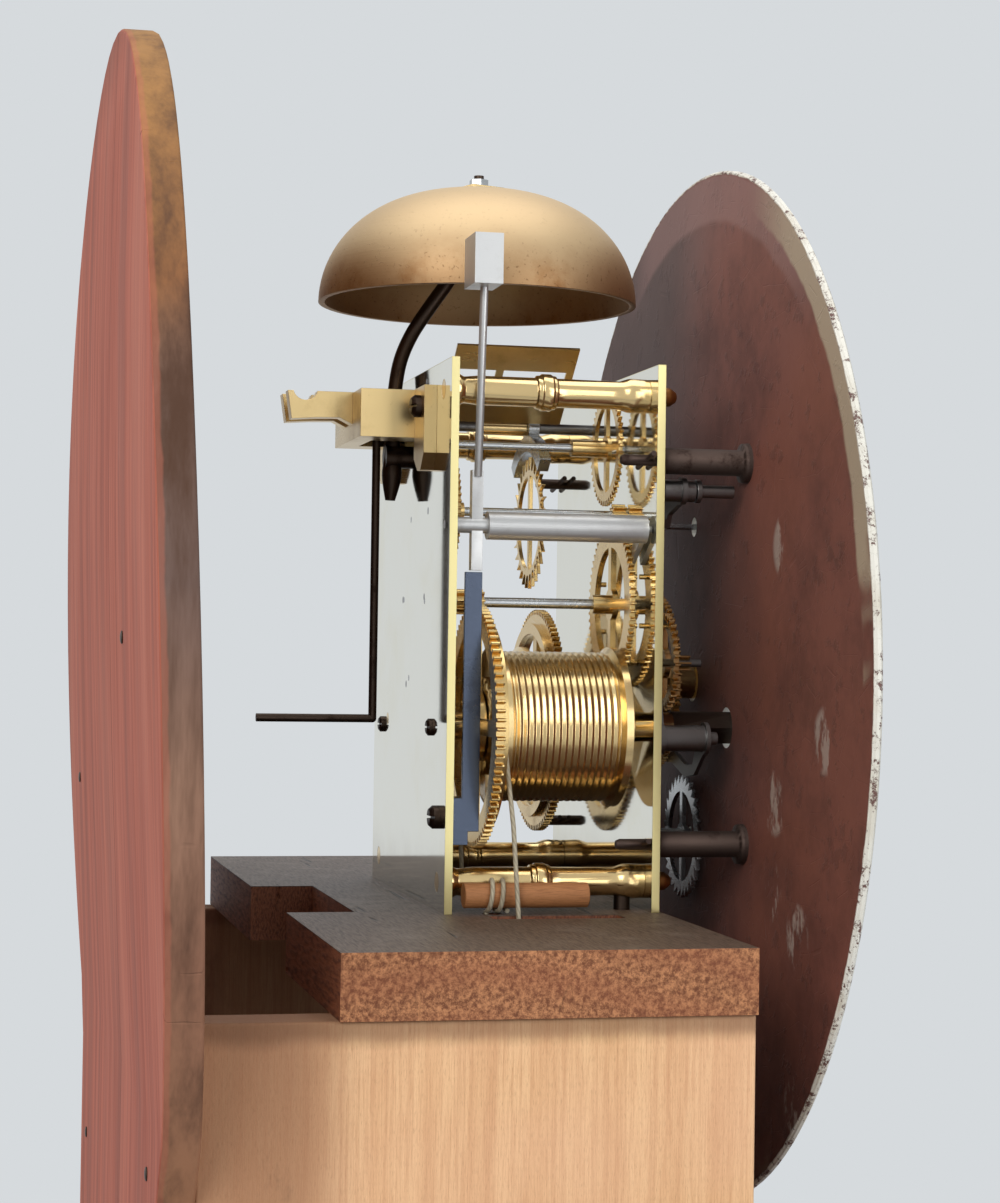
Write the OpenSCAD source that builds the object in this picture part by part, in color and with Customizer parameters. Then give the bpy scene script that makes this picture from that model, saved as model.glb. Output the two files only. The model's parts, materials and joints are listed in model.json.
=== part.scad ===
// Weight-driven eight-day longcase clock with its hood taken off: the case, the two-train
// striking movement on its seat board, the round dial, the weights and the parked pendulum.
// The origin is on the floor under the middle of the case, +Z is up and the dial faces -Y.

/* [Case] */
// Height of the seat board's top face above the floor
seat_top = 1690; // [1600:5:1800]
// Outside width of the trunk
trunk_w = 304; // [296:2:320]
// Thickness of the trunk's side boards
side_t = 16; // [12:1:18]
// Depth of the trunk's sides, from their front edge to the backboard
side_depth = 148.5; // [146:0.5:156]
// Thickness of the backboard
backboard_t = 10; // [8:0.5:14]
// Radius of the backboard's round head, behind the dial
head_r = 200; // [180:1:210]
// How far the backboard's head has bowed towards the wall
head_bow = 7.2; // [0:0.1:9]
// Thickness of the boards that frame the trunk's front
frame_t = 18; // [14:1:22]
// Width of the door opening in the trunk's front
door_opening_w = 204; // [190:2:216]
// Outside width of the base
base_w = 380; // [360:2:420]
// Height of the base, up to the moulding under the trunk
base_h = 440; // [400:5:480]
// Depth of the base in front of the trunk's frame
base_step = 20; // [12:1:30]
// Thickness of the seat board
seat_t = 17.7; // [14:0.1:20]

/* [Movement] */
// Width of the brass plates
plate_w = 124; // [118:1:130]
// Height of the brass plates
plate_h = 165; // [164:1:175]
// Thickness of the back plate
back_plate_t = 2.4; // [2:0.1:3]
// Thickness of the front plate
front_plate_t = 2.5; // [2:0.1:3]
// Space between the plates
plate_gap = 61.1; // [60.6:0.1:63]
// Radial running clearance of a pivot in its hole
pivot_play = 0.05; // [0.02:0.01:0.09]
// Radius of the drum of each barrel
drum_r = 23; // [21:0.5:24]

/* [Dial and bell] */
// Radius of the round dial
dial_r = 165; // [150:1:180]
// Thickness of the dial
dial_t = 2.7; // [1.6:0.1:3.5]
// Gap between the front plate and the back of the dial
dial_gap = 28.2; // [28.2:0.1:31]
// Radius of the bell at its rim
bell_r = 51; // [48:0.5:53]
// Height of the bell from rim to crown
bell_h = 36.7; // [33:0.1:40]
// Thickness of the bell's wall
bell_t = 2; // [1.6:0.1:3]

/* [Weights and pendulum] */
// Radius of each driving weight
weight_r = 38; // [34:0.5:39]
// Length of each driving weight
weight_l = 195; // [180:1:205]
// Height of the run-down pulleys above the floor
pulley_z = 360; // [350:1:420]
// Radius of the pulley at the gut line's middle
pulley_r = 25; // [22:0.5:26]
// Radius of the pendulum's bob
bob_r = 55; // [48:1:60]
// Diameter of the gut line
gut_d = 1.4; // [1.2:0.1:1.6]

/* [Hidden] */
$fn = 48;

brass = [0.83, 0.69, 0.36];
plate_brass = [0.86, 0.82, 0.66];
steel = [0.55, 0.56, 0.58];
dark_steel = [0.25, 0.22, 0.21];
blued = [0.16, 0.19, 0.32];
gut_colour = [0.88, 0.84, 0.74];

// The back face of the back plate is the movement's datum: y and z below are counted from it
// and from the seat board's top, except in the modules of the case.
plate_back_y = 7;
front_in = -back_plate_t - plate_gap;
front_out = front_in - front_plate_t;
dial_back = front_out - dial_gap;
dial_front = dial_back - dial_t;
seat_gap = 0.3;
eps = 0.01;

module in_movement() {
  translate([0, plate_back_y, seat_top]) children();
}

// Draws what is modelled upright on XY so that it lies in the plane of the plates: its +Z
// runs towards the dial from the plane at y, about an axis at p = [x, z].
module on_axis(p, y) {
  translate([p[0], y, p[1]]) rotate([90, 0, 0]) children();
}

module rod(p, y_from, y_to, r) {
  on_axis(p, y_from) cylinder(r = r, h = y_from - y_to);
}

// Trains: the tooth counts and the places of the arbors, as [x, z]
great_going_at = [37, 55];
great_strike_at = [-37, 55];
centre_at = [0, 69];
third_at = [10.3, 94.1];
escape_at = [0, 119.5];
pallet_at = [0, 150];
pin_at = [-24.5, 93.1];
gather_at = [-28, 121];
warn_at = [-25, 142];
fly_at = [-23, 161.4];
hammer_at = [-54, 115.5];
minute_at = [-29.4, 75];
date_at = [0, 18.5];
rack_at = [-50, 52];
hook_at = [-52, 127.7];
lift_at = [4, 108];

going_great_n = 96;
centre_pinion_n = 8;
centre_n = 60;
third_pinion_n = 8;
third_n = 56;
escape_pinion_n = 7;
escape_n = 30;
strike_great_n = 84;
pin_pinion_n = 8;
pin_n = 64;
gather_pinion_n = 8;
gather_n = 56;
warn_pinion_n = 7;
warn_n = 48;
fly_pinion_n = 6;
cannon_n = 36;
minute_n = 36;
minute_pinion_n = 6;
hour_n = 72;
date_n = 31;

function gap_between(a, b) = norm(b - a);
function bearing(a, b) = atan2(b[1] - a[1], b[0] - a[0]);
// Pitch radius of the first wheel of a meshed pair, from the distance of their arbors
function pitch_r(a, b, n_a, n_b) = gap_between(a, b) * n_a / (n_a + n_b);
// Turn of the second wheel that brings its spaces to the first wheel's teeth
function mesh(a, b, turn_a, n_a, n_b) =
  bearing(a, b) + 180 - (0.5 - (bearing(a, b) - turn_a) * n_a / 360) * 360 / n_b;

centre_pinion_turn = mesh(great_going_at, centre_at, 0, going_great_n, centre_pinion_n);
third_pinion_turn = mesh(centre_at, third_at, 0, centre_n, third_pinion_n);
escape_pinion_turn = mesh(third_at, escape_at, 0, third_n, escape_pinion_n);
pin_pinion_turn = mesh(great_strike_at, pin_at, 0, strike_great_n, pin_pinion_n);
gather_pinion_turn = mesh(pin_at, gather_at, 0, pin_n, gather_pinion_n);
warn_pinion_turn = mesh(gather_at, warn_at, 0, gather_n, warn_pinion_n);
fly_pinion_turn = mesh(warn_at, fly_at, 0, warn_n, fly_pinion_n);
minute_turn = mesh(centre_at, minute_at, 0, cannon_n, minute_n);
hour_turn = mesh(minute_at, centre_at, 0, minute_pinion_n, hour_n);

// Half-widths of a tooth at rising heights, as [share of the pitch, share of the addendum]
wheel_tooth = [[0.235, -1.25], [0.22, 0], [0.165, 0.5], [0.08, 0.92]];
leaf_tooth = [[0.12, -1.4], [0.15, 0], [0.12, 0.4], [0.05, 0.56]];

function tooth_ring(n, rp, turn, form) = let (m = 2 * rp / n, last = len(form) - 1) [
  for (k = [0 : n - 1], side = [-1, 1], i = [0 : last])
    let (f = form[side < 0 ? i : last - i],
         a = turn + (k + side * f[0]) * 360 / n,
         r = rp + f[1] * m)
    [r * cos(a), r * sin(a)]];

module crossings(hub_r, rim_r, arms, arm_w) {
  difference() {
    circle(rim_r);
    circle(hub_r);
    for (i = [0 : arms - 1]) rotate(i * 360 / arms) translate([0, -arm_w / 2]) square([rim_r, arm_w]);
  }
}

// A crossed-out toothed wheel with its teeth on pitch radius rp, and the bore of its arbor
module wheel(n, rp, t, turn, arms, rim, hub_r, bore_r, arm_w = 3.2) {
  difference() {
    linear_extrude(t) difference() {
      polygon(tooth_ring(n, rp, turn, wheel_tooth));
      crossings(hub_r, rp - 2.6 * rp / n - rim, arms, arm_w);
    }
    translate([0, 0, -1]) cylinder(r = bore_r, h = t + 2);
  }
}

module pinion(n, rp, l, turn) {
  linear_extrude(l) polygon(tooth_ring(n, rp, turn, leaf_tooth));
}

// Gut line and wire: one tube of the given number of sides through the points
function unit(v) = v / norm(v);
function way(p, i) = unit(p[min(i + 1, len(p) - 1)] - p[max(i - 1, 0)]);
function ring_at(p, i, r, sides, side_of) =
  let (t = way(p, i), u = unit(cross(t, side_of)), v = cross(t, u))
  [for (k = [0 : sides - 1]) p[i] + r * (cos(k * 360 / sides) * u + sin(k * 360 / sides) * v)];

module tube(p, radii, sides, side_of) {
  n = len(p);
  polyhedron(
    [for (i = [0 : n - 1]) each ring_at(p, i, radii[min(i, len(radii) - 1)], sides, side_of)],
    concat(
      [[for (k = [0 : sides - 1]) k]],
      [for (i = [0 : n - 2], k = [0 : sides - 1])
        let (a = i * sides + k, b = i * sides + (k + 1) % sides)
        each [[a, a + sides, b + sides], [a, b + sides, b]]],
      [[for (k = [sides - 1 : -1 : 0]) (n - 1) * sides + k]]));
}

// Case
case_back = plate_back_y + 91.5;
board_front = case_back - backboard_t;
side_front = board_front - side_depth;
frame_front = side_front - frame_t;
base_front = frame_front - base_step;
seat_under = seat_top - seat_t;
dial_centre_z = seat_top + centre_at[1];
head_centre_z = dial_centre_z - 4;
head_top = head_centre_z + head_r;
frame_top = seat_top - 118;
throat_h = 62;
throat_z = frame_top - throat_h;
door_top = throat_z - 22;
door_bottom = base_h + 82;
door_lip = 6;
door_t = 17;
floor_z = 14;
let_in = 30;
plinth_h = 78;
plinth_out = 8;
base_side_t = 14;

// The board's head has warped: how far its rear face stands behind the trunk's at a height
bow_from = seat_top - 45;
bow_turn = 125;
bow_steps = 18;
bow_l = head_top + 1 - bow_from;
function bow_at(z) = z < bow_from ? 0 : head_bow * sin(bow_turn * (z - bow_from) / bow_l);
module backboard() {
  heights = concat([floor_z], [for (k = [0 : bow_steps]) bow_from + bow_l * k / bow_steps]);
  last = len(heights) - 1;
  color([0.62, 0.33, 0.29]) intersection() {
    translate([-head_r, 0, 0]) rotate([90, 0, 90]) linear_extrude(2 * head_r) polygon(concat(
      [for (z = heights) [case_back + bow_at(z), z]],
      [for (k = [last : -1 : 0]) [board_front + bow_at(heights[k]), heights[k]]]));
    translate([0, case_back + head_bow + 1, 0]) rotate([90, 0, 0])
      linear_extrude(backboard_t + head_bow + 2) union() {
        translate([-trunk_w / 2, floor_z]) square([trunk_w, head_centre_z - floor_z]);
        translate([0, head_centre_z]) circle(head_r, $fn = 96);
      }
  }
}

module trunk_sides() {
  color([0.80, 0.62, 0.46]) for (s = [-1, 1])
    translate([s > 0 ? trunk_w / 2 - side_t : -trunk_w / 2, side_front, base_h - let_in])
      cube([side_t, side_depth, seat_under - base_h + let_in]);
}

module trunk_front_frame() {
  color([0.46, 0.25, 0.14]) translate([0, side_front, 0]) rotate([90, 0, 0]) linear_extrude(frame_t)
    difference() {
      translate([-trunk_w / 2, base_h - let_in]) square([trunk_w, frame_top - base_h + let_in]);
      translate([-door_opening_w / 2, door_bottom + door_lip])
        square([door_opening_w, door_top - door_bottom - 2 * door_lip]);
    }
}

door_w = door_opening_w + 2 * door_lip;
module trunk_door() {
  ground = 5;
  border = 8;
  color([0.50, 0.27, 0.15]) translate([0, frame_front - seat_gap, 0]) rotate([90, 0, 0]) difference() {
    linear_extrude(door_t) translate([-door_w / 2, door_bottom])
      square([door_w, door_top - door_bottom]);
    for (side = [-1, 1])
      translate([side * door_w / 2, door_bottom - 1, door_t]) rotate([-90, 0, 0])
        linear_extrude(door_top - door_bottom + 2)
          polygon([[side, -1], [side, ground], [0, ground], [-side * border, 0], [-side * border, -1]]);
    translate([0, lock_z, door_t - 9]) cylinder(r = 3, h = 10);
  }
}

hinge_x = door_w / 2 + 3.6;
hinge_y = frame_front - door_t / 2;
hinge_r = 3;
hinge_zs = [door_bottom + 130, door_top - 160];
lock_z = (door_bottom + door_top) / 2 + 60;
module door_hardware() {
  flap_w = 14;
  flap_t = 1.4;
  flap_y = frame_front - seat_gap - door_t - flap_t;
  color(brass) {
    for (z = hinge_zs) {
      for (dz = [-26, 14]) translate([hinge_x, hinge_y, z + dz]) difference() {
        cylinder(r = hinge_r, h = 12);
        translate([0, 0, -1]) cylinder(r = 1.5 + pivot_play, h = 14);
      }
      for (dz = [-26, 14]) {
        translate([door_w / 2 - flap_w, flap_y, z + dz]) cube([hinge_x - door_w / 2 + flap_w, flap_t, 12]);
        translate([hinge_x - 0.9, flap_y, z + dz]) cube([1.8, hinge_y - hinge_r + 1 - flap_y, 12]);
      }
    }
    translate([0, frame_front - seat_gap - door_t, lock_z]) rotate([90, 0, 0]) difference() {
      linear_extrude(1.2) union() {
        circle(9);
        translate([-5, -24]) square([10, 24]);
        translate([0, -24]) circle(5);
      }
      translate([0, 0, -1]) cylinder(r = 3, h = 4);
    }
  }
}

module hinge_pins() {
  color(brass) for (z = hinge_zs) {
    translate([hinge_x, hinge_y, z - 29]) cylinder(r = 1.5, h = 58);
    translate([hinge_x, hinge_y, z - 13.7]) cylinder(r = hinge_r, h = 27.4);
    translate([hinge_x - 1, hinge_y, z - 13.7]) cube([2, frame_front - hinge_y, 27.4]);
  }
}

// A moulding's outline as [how far it stands out, height], and its run round three sides
throat_profile = [[0, 0], [4, 0], [4, 8], [9, 10], [13, 18], [20, 32], [32, 44], [36, 46],
  [36, 56], [40, 58], [40, throat_h], [0, throat_h]];
waist_profile = [[0, 0], [38, 0], [38, 9], [34, 12], [30, 16], [22, 22], [14, 32], [10, 44],
  [8, 46], [8, 54], [0, 56]];
plinth_profile = [[0, 0], [plinth_out, 0], [plinth_out, plinth_h - 14], [plinth_out - 3, plinth_h - 8],
  [2, plinth_h], [0, plinth_h]];
module run_round(w, y_front, y_back, z, profile) {
  out = max([for (p = profile) p[0]]);
  cut_h = throat_h + plinth_h;
  intersection() {
    translate([-w / 2 - out, y_front, z]) rotate([90, 0, 90]) linear_extrude(w + 2 * out)
      polygon([for (p = profile) [-p[0], p[1]]]);
    translate([0, 0, z - 1]) linear_extrude(cut_h)
      polygon([[w / 2, y_front], [-w / 2, y_front], [-w / 2 - out, y_front - out],
        [w / 2 + out, y_front - out]]);
  }
  for (s = [0, 1]) mirror([s, 0, 0]) intersection() {
    translate([w / 2, y_back, z]) rotate([90, 0, 0]) linear_extrude(y_back - y_front + out)
      polygon(profile);
    translate([0, 0, z - 1]) linear_extrude(cut_h)
      polygon([[w / 2, y_front], [w / 2 + out, y_front - out], [w / 2 + out, y_back], [w / 2, y_back]]);
  }
}

module case_mouldings() {
  color([0.42, 0.22, 0.12]) {
    run_round(trunk_w, frame_front, board_front, throat_z, throat_profile);
    run_round(trunk_w, frame_front, board_front, base_h, waist_profile);
  }
}

module base_case() {
  color([0.44, 0.24, 0.13]) {
    difference() {
      translate([-base_w / 2, base_front, 0]) cube([base_w, case_back - base_front, base_h]);
      translate([-base_w / 2 + base_side_t, base_front + base_side_t, -1])
        cube([base_w - 2 * base_side_t, case_back - base_front, base_h - base_side_t + 1]);
      translate([-trunk_w / 2, frame_front, base_h - base_side_t - 1])
        cube([trunk_w, case_back - frame_front + 1, base_side_t + 2]);
    }
    for (s = [-1, 1]) translate([s > 0 ? trunk_w / 2 : -base_w / 2 + base_side_t, board_front, floor_z])
      cube([(base_w - trunk_w) / 2 - base_side_t, backboard_t, base_h - floor_z]);
    run_round(base_w, base_front, case_back, 0, plinth_profile);
  }
}

module floor_board() {
  inner_w = base_w - 2 * base_side_t;
  color([0.66, 0.50, 0.36]) translate([-inner_w / 2, base_front + base_side_t, 0])
    cube([inner_w, case_back - base_front - base_side_t, floor_z]);
}

// Seat board, with its bays for the pendulum and for the gut lines
slot_y0 = -52;
slot_y1 = -12;
seat_back_y = 45.3;
seat_front_y = -67;
bay_x = [-52, 32];
bay_front_y = 25;
strike_slot_x = [-76, -66];
going_slot_x = [2, 26];
peg_at = [[-60.4, -15], [60.4, -15]];
module seat_board() {
  color([0.45, 0.28, 0.20]) in_movement() difference() {
    translate([-trunk_w / 2 - 1.5, seat_front_y, -seat_t])
      cube([trunk_w + 3, seat_back_y - seat_front_y, seat_t]);
    translate([bay_x[0], bay_front_y, -seat_t - 1]) cube([bay_x[1] - bay_x[0], 30, seat_t + 2]);
    for (x = [strike_slot_x, going_slot_x])
      translate([x[0], slot_y0, -seat_t - 1]) cube([x[1] - x[0], slot_y1 - slot_y0, seat_t + 2]);
    for (p = peg_at) translate([p[0], p[1], -seat_t - 1]) cylinder(r = 3, h = seat_t + 2);
    for (x = seat_bolt_x) translate([x, seat_bolt_y, -seat_t - 1])
      cylinder(r = seat_bolt_r + 0.1, h = seat_t + 2);
  }
}

// Plates and pillars
pillars_at = [[-50, 8.5], [50, 8.5], [-50, 156.4], [50, 148]];
pillar_r = 4.45;
spigot_r = 3;
seat_bolt_x = [-50, 50];
seat_bolt_y = -57.5;
seat_bolt_r = 2.5;
pallet_hole_r = 5.5;
feet_at = [[-55, 136.5], [55, 136], [-55, 20], [55, 20]];
foot_r = 4;
foot_tenon_r = 1.7;
pivot_r = 0.9;
barrel_pivot_r = 2;
winding_r = 4.5;
hammer_pivot_r = 1.2;
centre_r = 1.5;
seconds_r = 1;
gather_front_r = 1.3;
pivots = [[third_at, pivot_r], [pin_at, pivot_r], [warn_at, pivot_r], [fly_at, pivot_r],
  [hammer_at, hammer_pivot_r]];
back_pivots = concat(pivots, [[great_going_at, barrel_pivot_r], [great_strike_at, barrel_pivot_r],
  [centre_at, pivot_r], [gather_at, pivot_r], [escape_at, pivot_r]]);
front_pivots = concat(pivots, [[great_going_at, winding_r], [great_strike_at, winding_r],
  [centre_at, centre_r], [gather_at, gather_front_r], [escape_at, seconds_r], [pallet_at, pivot_r]]);
spigot_fit = 0.02;

module plate(y, t, holes) {
  on_axis([0, 0], y) difference() {
    translate([-plate_w / 2, 0, 0]) cube([plate_w, plate_h, t]);
    for (h = holes) translate([h[0][0], h[0][1], -1]) cylinder(r = h[1] + pivot_play, h = t + 2);
    for (p = pillars_at) translate([p[0], p[1], -1]) cylinder(r = spigot_r + spigot_fit, h = t + 2);
  }
}

module back_plate() {
  color(plate_brass) in_movement() difference() {
    plate(0, back_plate_t, back_pivots);
    rod(pallet_at, 1, -back_plate_t - 1, pallet_hole_r);
  }
}

module front_plate() {
  color(plate_brass) in_movement() difference() {
    plate(front_in, front_plate_t, front_pivots);
    for (p = feet_at) rod(p, front_in + 1, front_out - 1, foot_tenon_r + pivot_play);
  }
}

// Turned pillar: radii along its length between the plates, then the spigots and the finial
pillar_ring_r = 5.65;
pillar_flare_r = 5.3;
module pillar() {
  g = plate_gap;
  middle = g / 2 - 1.6;
  end = g + front_plate_t;
  rotate_extrude() polygon([[0, -back_plate_t], [spigot_r, -back_plate_t], [spigot_r, 0], [5, 0],
    [5, 1.8], [4, 3.6], [pillar_r, 8], [pillar_r, middle - 3.2],
    [5.1, middle - 2.9], [5.2, middle - 1.7], [pillar_ring_r, middle - 1.3],
    [pillar_ring_r, middle + 1.5],
    [5.2, middle + 2], [5.1, middle + 3], [pillar_r, middle + 3.3],
    [pillar_r - 0.15, g - 9], [pillar_flare_r - 0.1, g - 6.2], [pillar_flare_r, g - 5],
    [pillar_flare_r - 0.2, g], [spigot_r, g], [spigot_r, end],
    [3, end], [3.2, end + 2], [2.8, end + 4.6], [1.6, end + 6.4], [0, end + 7]]);
}

module pillars() {
  color(brass) in_movement() difference() {
    for (p = pillars_at) on_axis(p, -back_plate_t) pillar();
    for (x = seat_bolt_x) translate([x, seat_bolt_y, 0])
      cylinder(r = seat_bolt_r + spigot_fit, h = pillars_at[0][1]);
  }
}

cock_foot_x = 40;
cock_foot_t = 4;
module steel_screws() {
  color(steel) in_movement() {
    for (x = seat_bolt_x) translate([x, seat_bolt_y, -seat_t - 5]) {
      cylinder(r = 7, h = 5);
      cylinder(r = seat_bolt_r, h = seat_t + 5 + pillars_at[0][1] - 0.5);
    }
    for (p = [[45.6, 53], [-38, 54.5]]) screw_head(p, 2.6, 1.6);
    screw_head([-51, 28], 3.5, 3);
    translate([0, cock_foot_t, 0]) for (x = [-33.5, 33.5]) screw_head([x, 152.6], 3.4, 3);
  }
}

module screw_head(p, r, h) {
  translate([p[0], 0, p[1]]) rotate([-90, 0, 0]) difference() {
    rotate_extrude() polygon([[0, 0], [r, 0], [r, h * 0.6], [r * 0.7, h], [0, h]]);
    translate([-r - 1, -r * 0.12, h * 0.55]) cube([2 * r + 2, r * 0.24, h]);
  }
}

// Back cock: a block with the crutch's cavity, feet on the plate and two notched arms
notch_y = 35.9;
notch_r = 3.9;
arm_top = 158.7;
arm_x = [-9, 3.6];
arm_w = 5.4;
cock_z = 143.6;
cock_depth = 21;
cock_half = 25;
foot_low = 133;
module back_cock() {
  color(brass) in_movement() difference() {
    union() {
      translate([-cock_half, 0, cock_z]) cube([2 * cock_half, cock_depth, arm_top - 0.2 - cock_z]);
      for (s = [0, 1]) mirror([s, 0, 0]) on_axis([0, 0], cock_foot_t) linear_extrude(cock_foot_t)
        polygon([[cock_half - 1, foot_low + 4], [cock_half + 5, foot_low], [cock_foot_x - 5, foot_low],
          [cock_foot_x, foot_low + 5], [cock_foot_x, arm_top], [cock_half - 1, arm_top]]);
      for (x = arm_x) translate([x, 0, 0]) rotate([90, 0, 90]) linear_extrude(arm_w) difference() {
        polygon([[cock_depth - 1, 146], [cock_depth, 148.6], [25, 150.6], [32, 150.4], [40.2, 149.8],
          [41.5, arm_top], [cock_depth - 1, arm_top]]);
        translate([notch_y, arm_top + 1]) circle(notch_r);
      }
    }
    translate([-10, -1, 130]) cube([23.6, 16, 26]);
    translate([5.4, -1, 150]) cube([7.2, 10.4, 10]);
    rod(pallet_at, 30, 0, pivot_r + pivot_play);
  }
}

// Bell and its stand
bell_y = -20.5;
bell_rim_z = 189;
bell_crown_z = bell_rim_z + bell_h;
stand_points = [[8.7, 5.6, 113.5], [8.7, 5.4, 126], [8.6, 5.0, 134], [8.4, 5.2, 150], [7.6, 5.6, 162],
  [6, 5.4, 170], [3.6, 2.4, 178], [1.6, -3.4, 187], [0.6, -9.6, 195], [0.2, -14.6, 202], [0, -18.6, 210],
  [0, bell_y, 218], [0, bell_y, bell_crown_z - bell_t - 0.9]];
stand_radii = [0.8, 1.6, 3.2, 2.3, 2.3, 2.3, 2.3, 2.3, 2.3, 2.3, 2.3, 2.6, 2.6];
module bell_stand() {
  color(dark_steel) in_movement() {
    tube(stand_points, stand_radii, 12, [1, 0, 0]);
    translate([8.7, 0, 140]) rotate([-90, 0, 0]) cylinder(r = 3.6, h = 4);
    translate([8.7, 4, 140]) rotate([-90, 0, 0]) cylinder(r = 4.2, h = 3.4);
    translate([0, bell_y, bell_crown_z - bell_t - 5]) cylinder(r = 3.4, h = 4.2);
    translate([0, bell_y, bell_crown_z - bell_t - 1]) cylinder(r = 1.6, h = bell_t + 6);
  }
}

function bell_curve(r, h) = [for (a = [0 : 6 : 90]) [r * pow(cos(a), 0.82), h * pow(sin(a), 1.02)]];
module bell() {
  color([0.72, 0.55, 0.32]) in_movement() translate([0, bell_y, bell_rim_z]) difference() {
    rotate_extrude($fn = 96) polygon(concat([[0, 0]], bell_curve(bell_r, bell_h)));
    rotate_extrude($fn = 96) polygon(concat([[0, -1], [bell_r - bell_t, -1]],
      bell_curve(bell_r - bell_t, bell_h - bell_t)));
    cylinder(r = 1.7, h = bell_h + 1);
  }
}

module bell_nut() {
  color(steel) in_movement() translate([0, bell_y, bell_crown_z]) difference() {
    union() {
      rotate(20) translate([-6, -6, 0]) cube([12, 12, 1.2]);
      translate([0, 0, 1.2]) cylinder(r = 3.2, h = 2.6, $fn = 6);
    }
    translate([0, 0, -1]) cylinder(r = 1.6 + spigot_fit, h = 8);
  }
}

spring_x = -56.6;
module hammer_spring() {
  color(blued) in_movement() {
    translate([spring_x, -11.3, 24]) cube([1.2, 5.3, 77.4]);
    translate([spring_x, -8, 20]) cube([10, 5.6, 14]);
  }
}

// Front work: the studs on the front plate and the bridge that carries the hour wheel
cannon_y = -75;
cannon_t = 1.8;
bridge_y = -78.2;
bridge_t = 1.6;
hour_y = -80.6;
hour_t = 1.7;
snail_t = 1.6;
rack_y = -68;
rack_t = 1.6;
lift_y = -71;
hook_y = -73.6;
cannon_bore = centre_r + 0.1;
cannon_pipe_r = 3.2;
bridge_bore = cannon_pipe_r + 0.35;
bridge_pipe_r = 4.4;
hour_pipe_r = 5.6;
stud_r = 2;
minute_stud_r = 1.2;
date_stud_r = 1.4;
module front_studs() {
  in_movement() {
    color(steel) {
      for (s = [[rack_at, stud_r, -87], [hook_at, stud_r, -90.7], [lift_at, stud_r, -74.4],
                [minute_at, minute_stud_r, -88], [date_at, date_stud_r, -92]]) {
        rod(s[0], front_out, s[2], s[1]);
        rod(s[0], front_out, front_out - 1.2, s[1] + 1.6);
      }
      rod(hook_at, -78.4, -80, 3.6);
    }
    color(brass) {
      for (z = [48, 90]) rod([0, z], front_out, bridge_y, 2.6);
      difference() {
        union() {
          on_axis([0, 0], bridge_y) linear_extrude(bridge_t) union() {
            translate([-5, 48]) square([10, 42]);
            for (z = [48, 90]) translate([0, z]) circle(5);
            translate(centre_at) circle(8);
          }
          rod(centre_at, bridge_y, -98.5, bridge_pipe_r);
        }
        rod(centre_at, bridge_y + 1, -100, bridge_bore);
      }
    }
  }
}

// Gut lines: the pegs, the short stretches above the seat board and the long falls below it
peg_r = 3.7;
gut_r = gut_d / 2;
peg_z = peg_r + 2 * gut_r + 0.3;
wrap_r = peg_r + gut_r + 0.2;
line_off = drum_r + gut_r + 0.35;
strike_off = [great_strike_at[0] - line_off * cos(7), great_strike_at[1] + line_off * sin(7)];
// The lines leave the barrels, and fall to the pulleys, in one upright plane
fall_y = -22;
strike_fall_at = [strike_off[0] - 9.3, fall_y];
going_fall_at = [great_going_at[0] - line_off, fall_y];
module line_pegs() {
  color([0.80, 0.50, 0.32]) in_movement() for (p = peg_at)
    translate([p[0], -6, peg_z]) rotate([90, 0, 0]) cylinder(r = peg_r, h = 38);
}

function wraps(at) = [for (k = [0 : 36]) let (a = 180 + k * 20)
  [at[0] + wrap_r * sin(a), at[1] + 2 - k * 0.18, peg_z + wrap_r * cos(a)]];
module gut_lines() {
  color(gut_colour) in_movement() {
    tube([[strike_off[0], fall_y, strike_off[1]], [strike_off[0] - 4, fall_y, 26],
      [strike_fall_at[0], fall_y, -seat_t]], [gut_r], 8, [0, 1, 0]);
    tube([[going_fall_at[0], fall_y, great_going_at[1]], [going_fall_at[0], fall_y, 26],
      [going_fall_at[0], fall_y, -seat_t]], [gut_r], 8, [0, 1, 0]);
    for (p = peg_at)
      tube(concat([[p[0], p[1] + 2, -seat_t], [p[0], p[1] + 2, -6]], wraps(p)), [gut_r], 8,
        [0.2, 1, 0.1]);
  }
}

module long_fall(fall, peg, cx) {
  cz = pulley_z - seat_top;
  tube(concat([[fall[0], fall[1], -seat_t - 0.1]],
    [for (a = [180 : 12 : 360]) [cx + pulley_r * cos(a), fall[1], cz + pulley_r * sin(a)]],
    [[peg[0], peg[1] + 2, -seat_t - 0.1]]), [gut_r], 8, [0, 1, 0]);
}
strike_weight_x = -53;
going_weight_x = 38;
module strike_falls() {
  color(gut_colour) in_movement() long_fall(strike_fall_at, peg_at[0], strike_weight_x);
}
module going_falls() {
  color(gut_colour) in_movement() long_fall(going_fall_at, peg_at[1], going_weight_x);
}

pulley_t = 8;
pulley_pin_r = 2.5;
strap_t = 2.4;
module pulley(x) {
  g = pulley_r - gut_r - 0.3;
  t = pulley_t;
  translate([x, plate_back_y + fall_y + t / 2, pulley_z]) rotate([90, 0, 0]) difference() {
    rotate_extrude() polygon([[0, 0], [g + 4, 0], [g + 4, 1], [g + 1.2, 2.2], [g, t / 2 - 0.8],
      [g, t / 2 + 0.8], [g + 1.2, t - 2.2], [g + 4, t - 1], [g + 4, t], [0, t]]);
    translate([0, 0, -1]) cylinder(r = pulley_pin_r + pivot_play, h = t + 2);
  }
}
module going_pulley() { color(brass) pulley(going_weight_x); }
module strike_pulley() { color(brass) pulley(strike_weight_x); }

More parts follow.
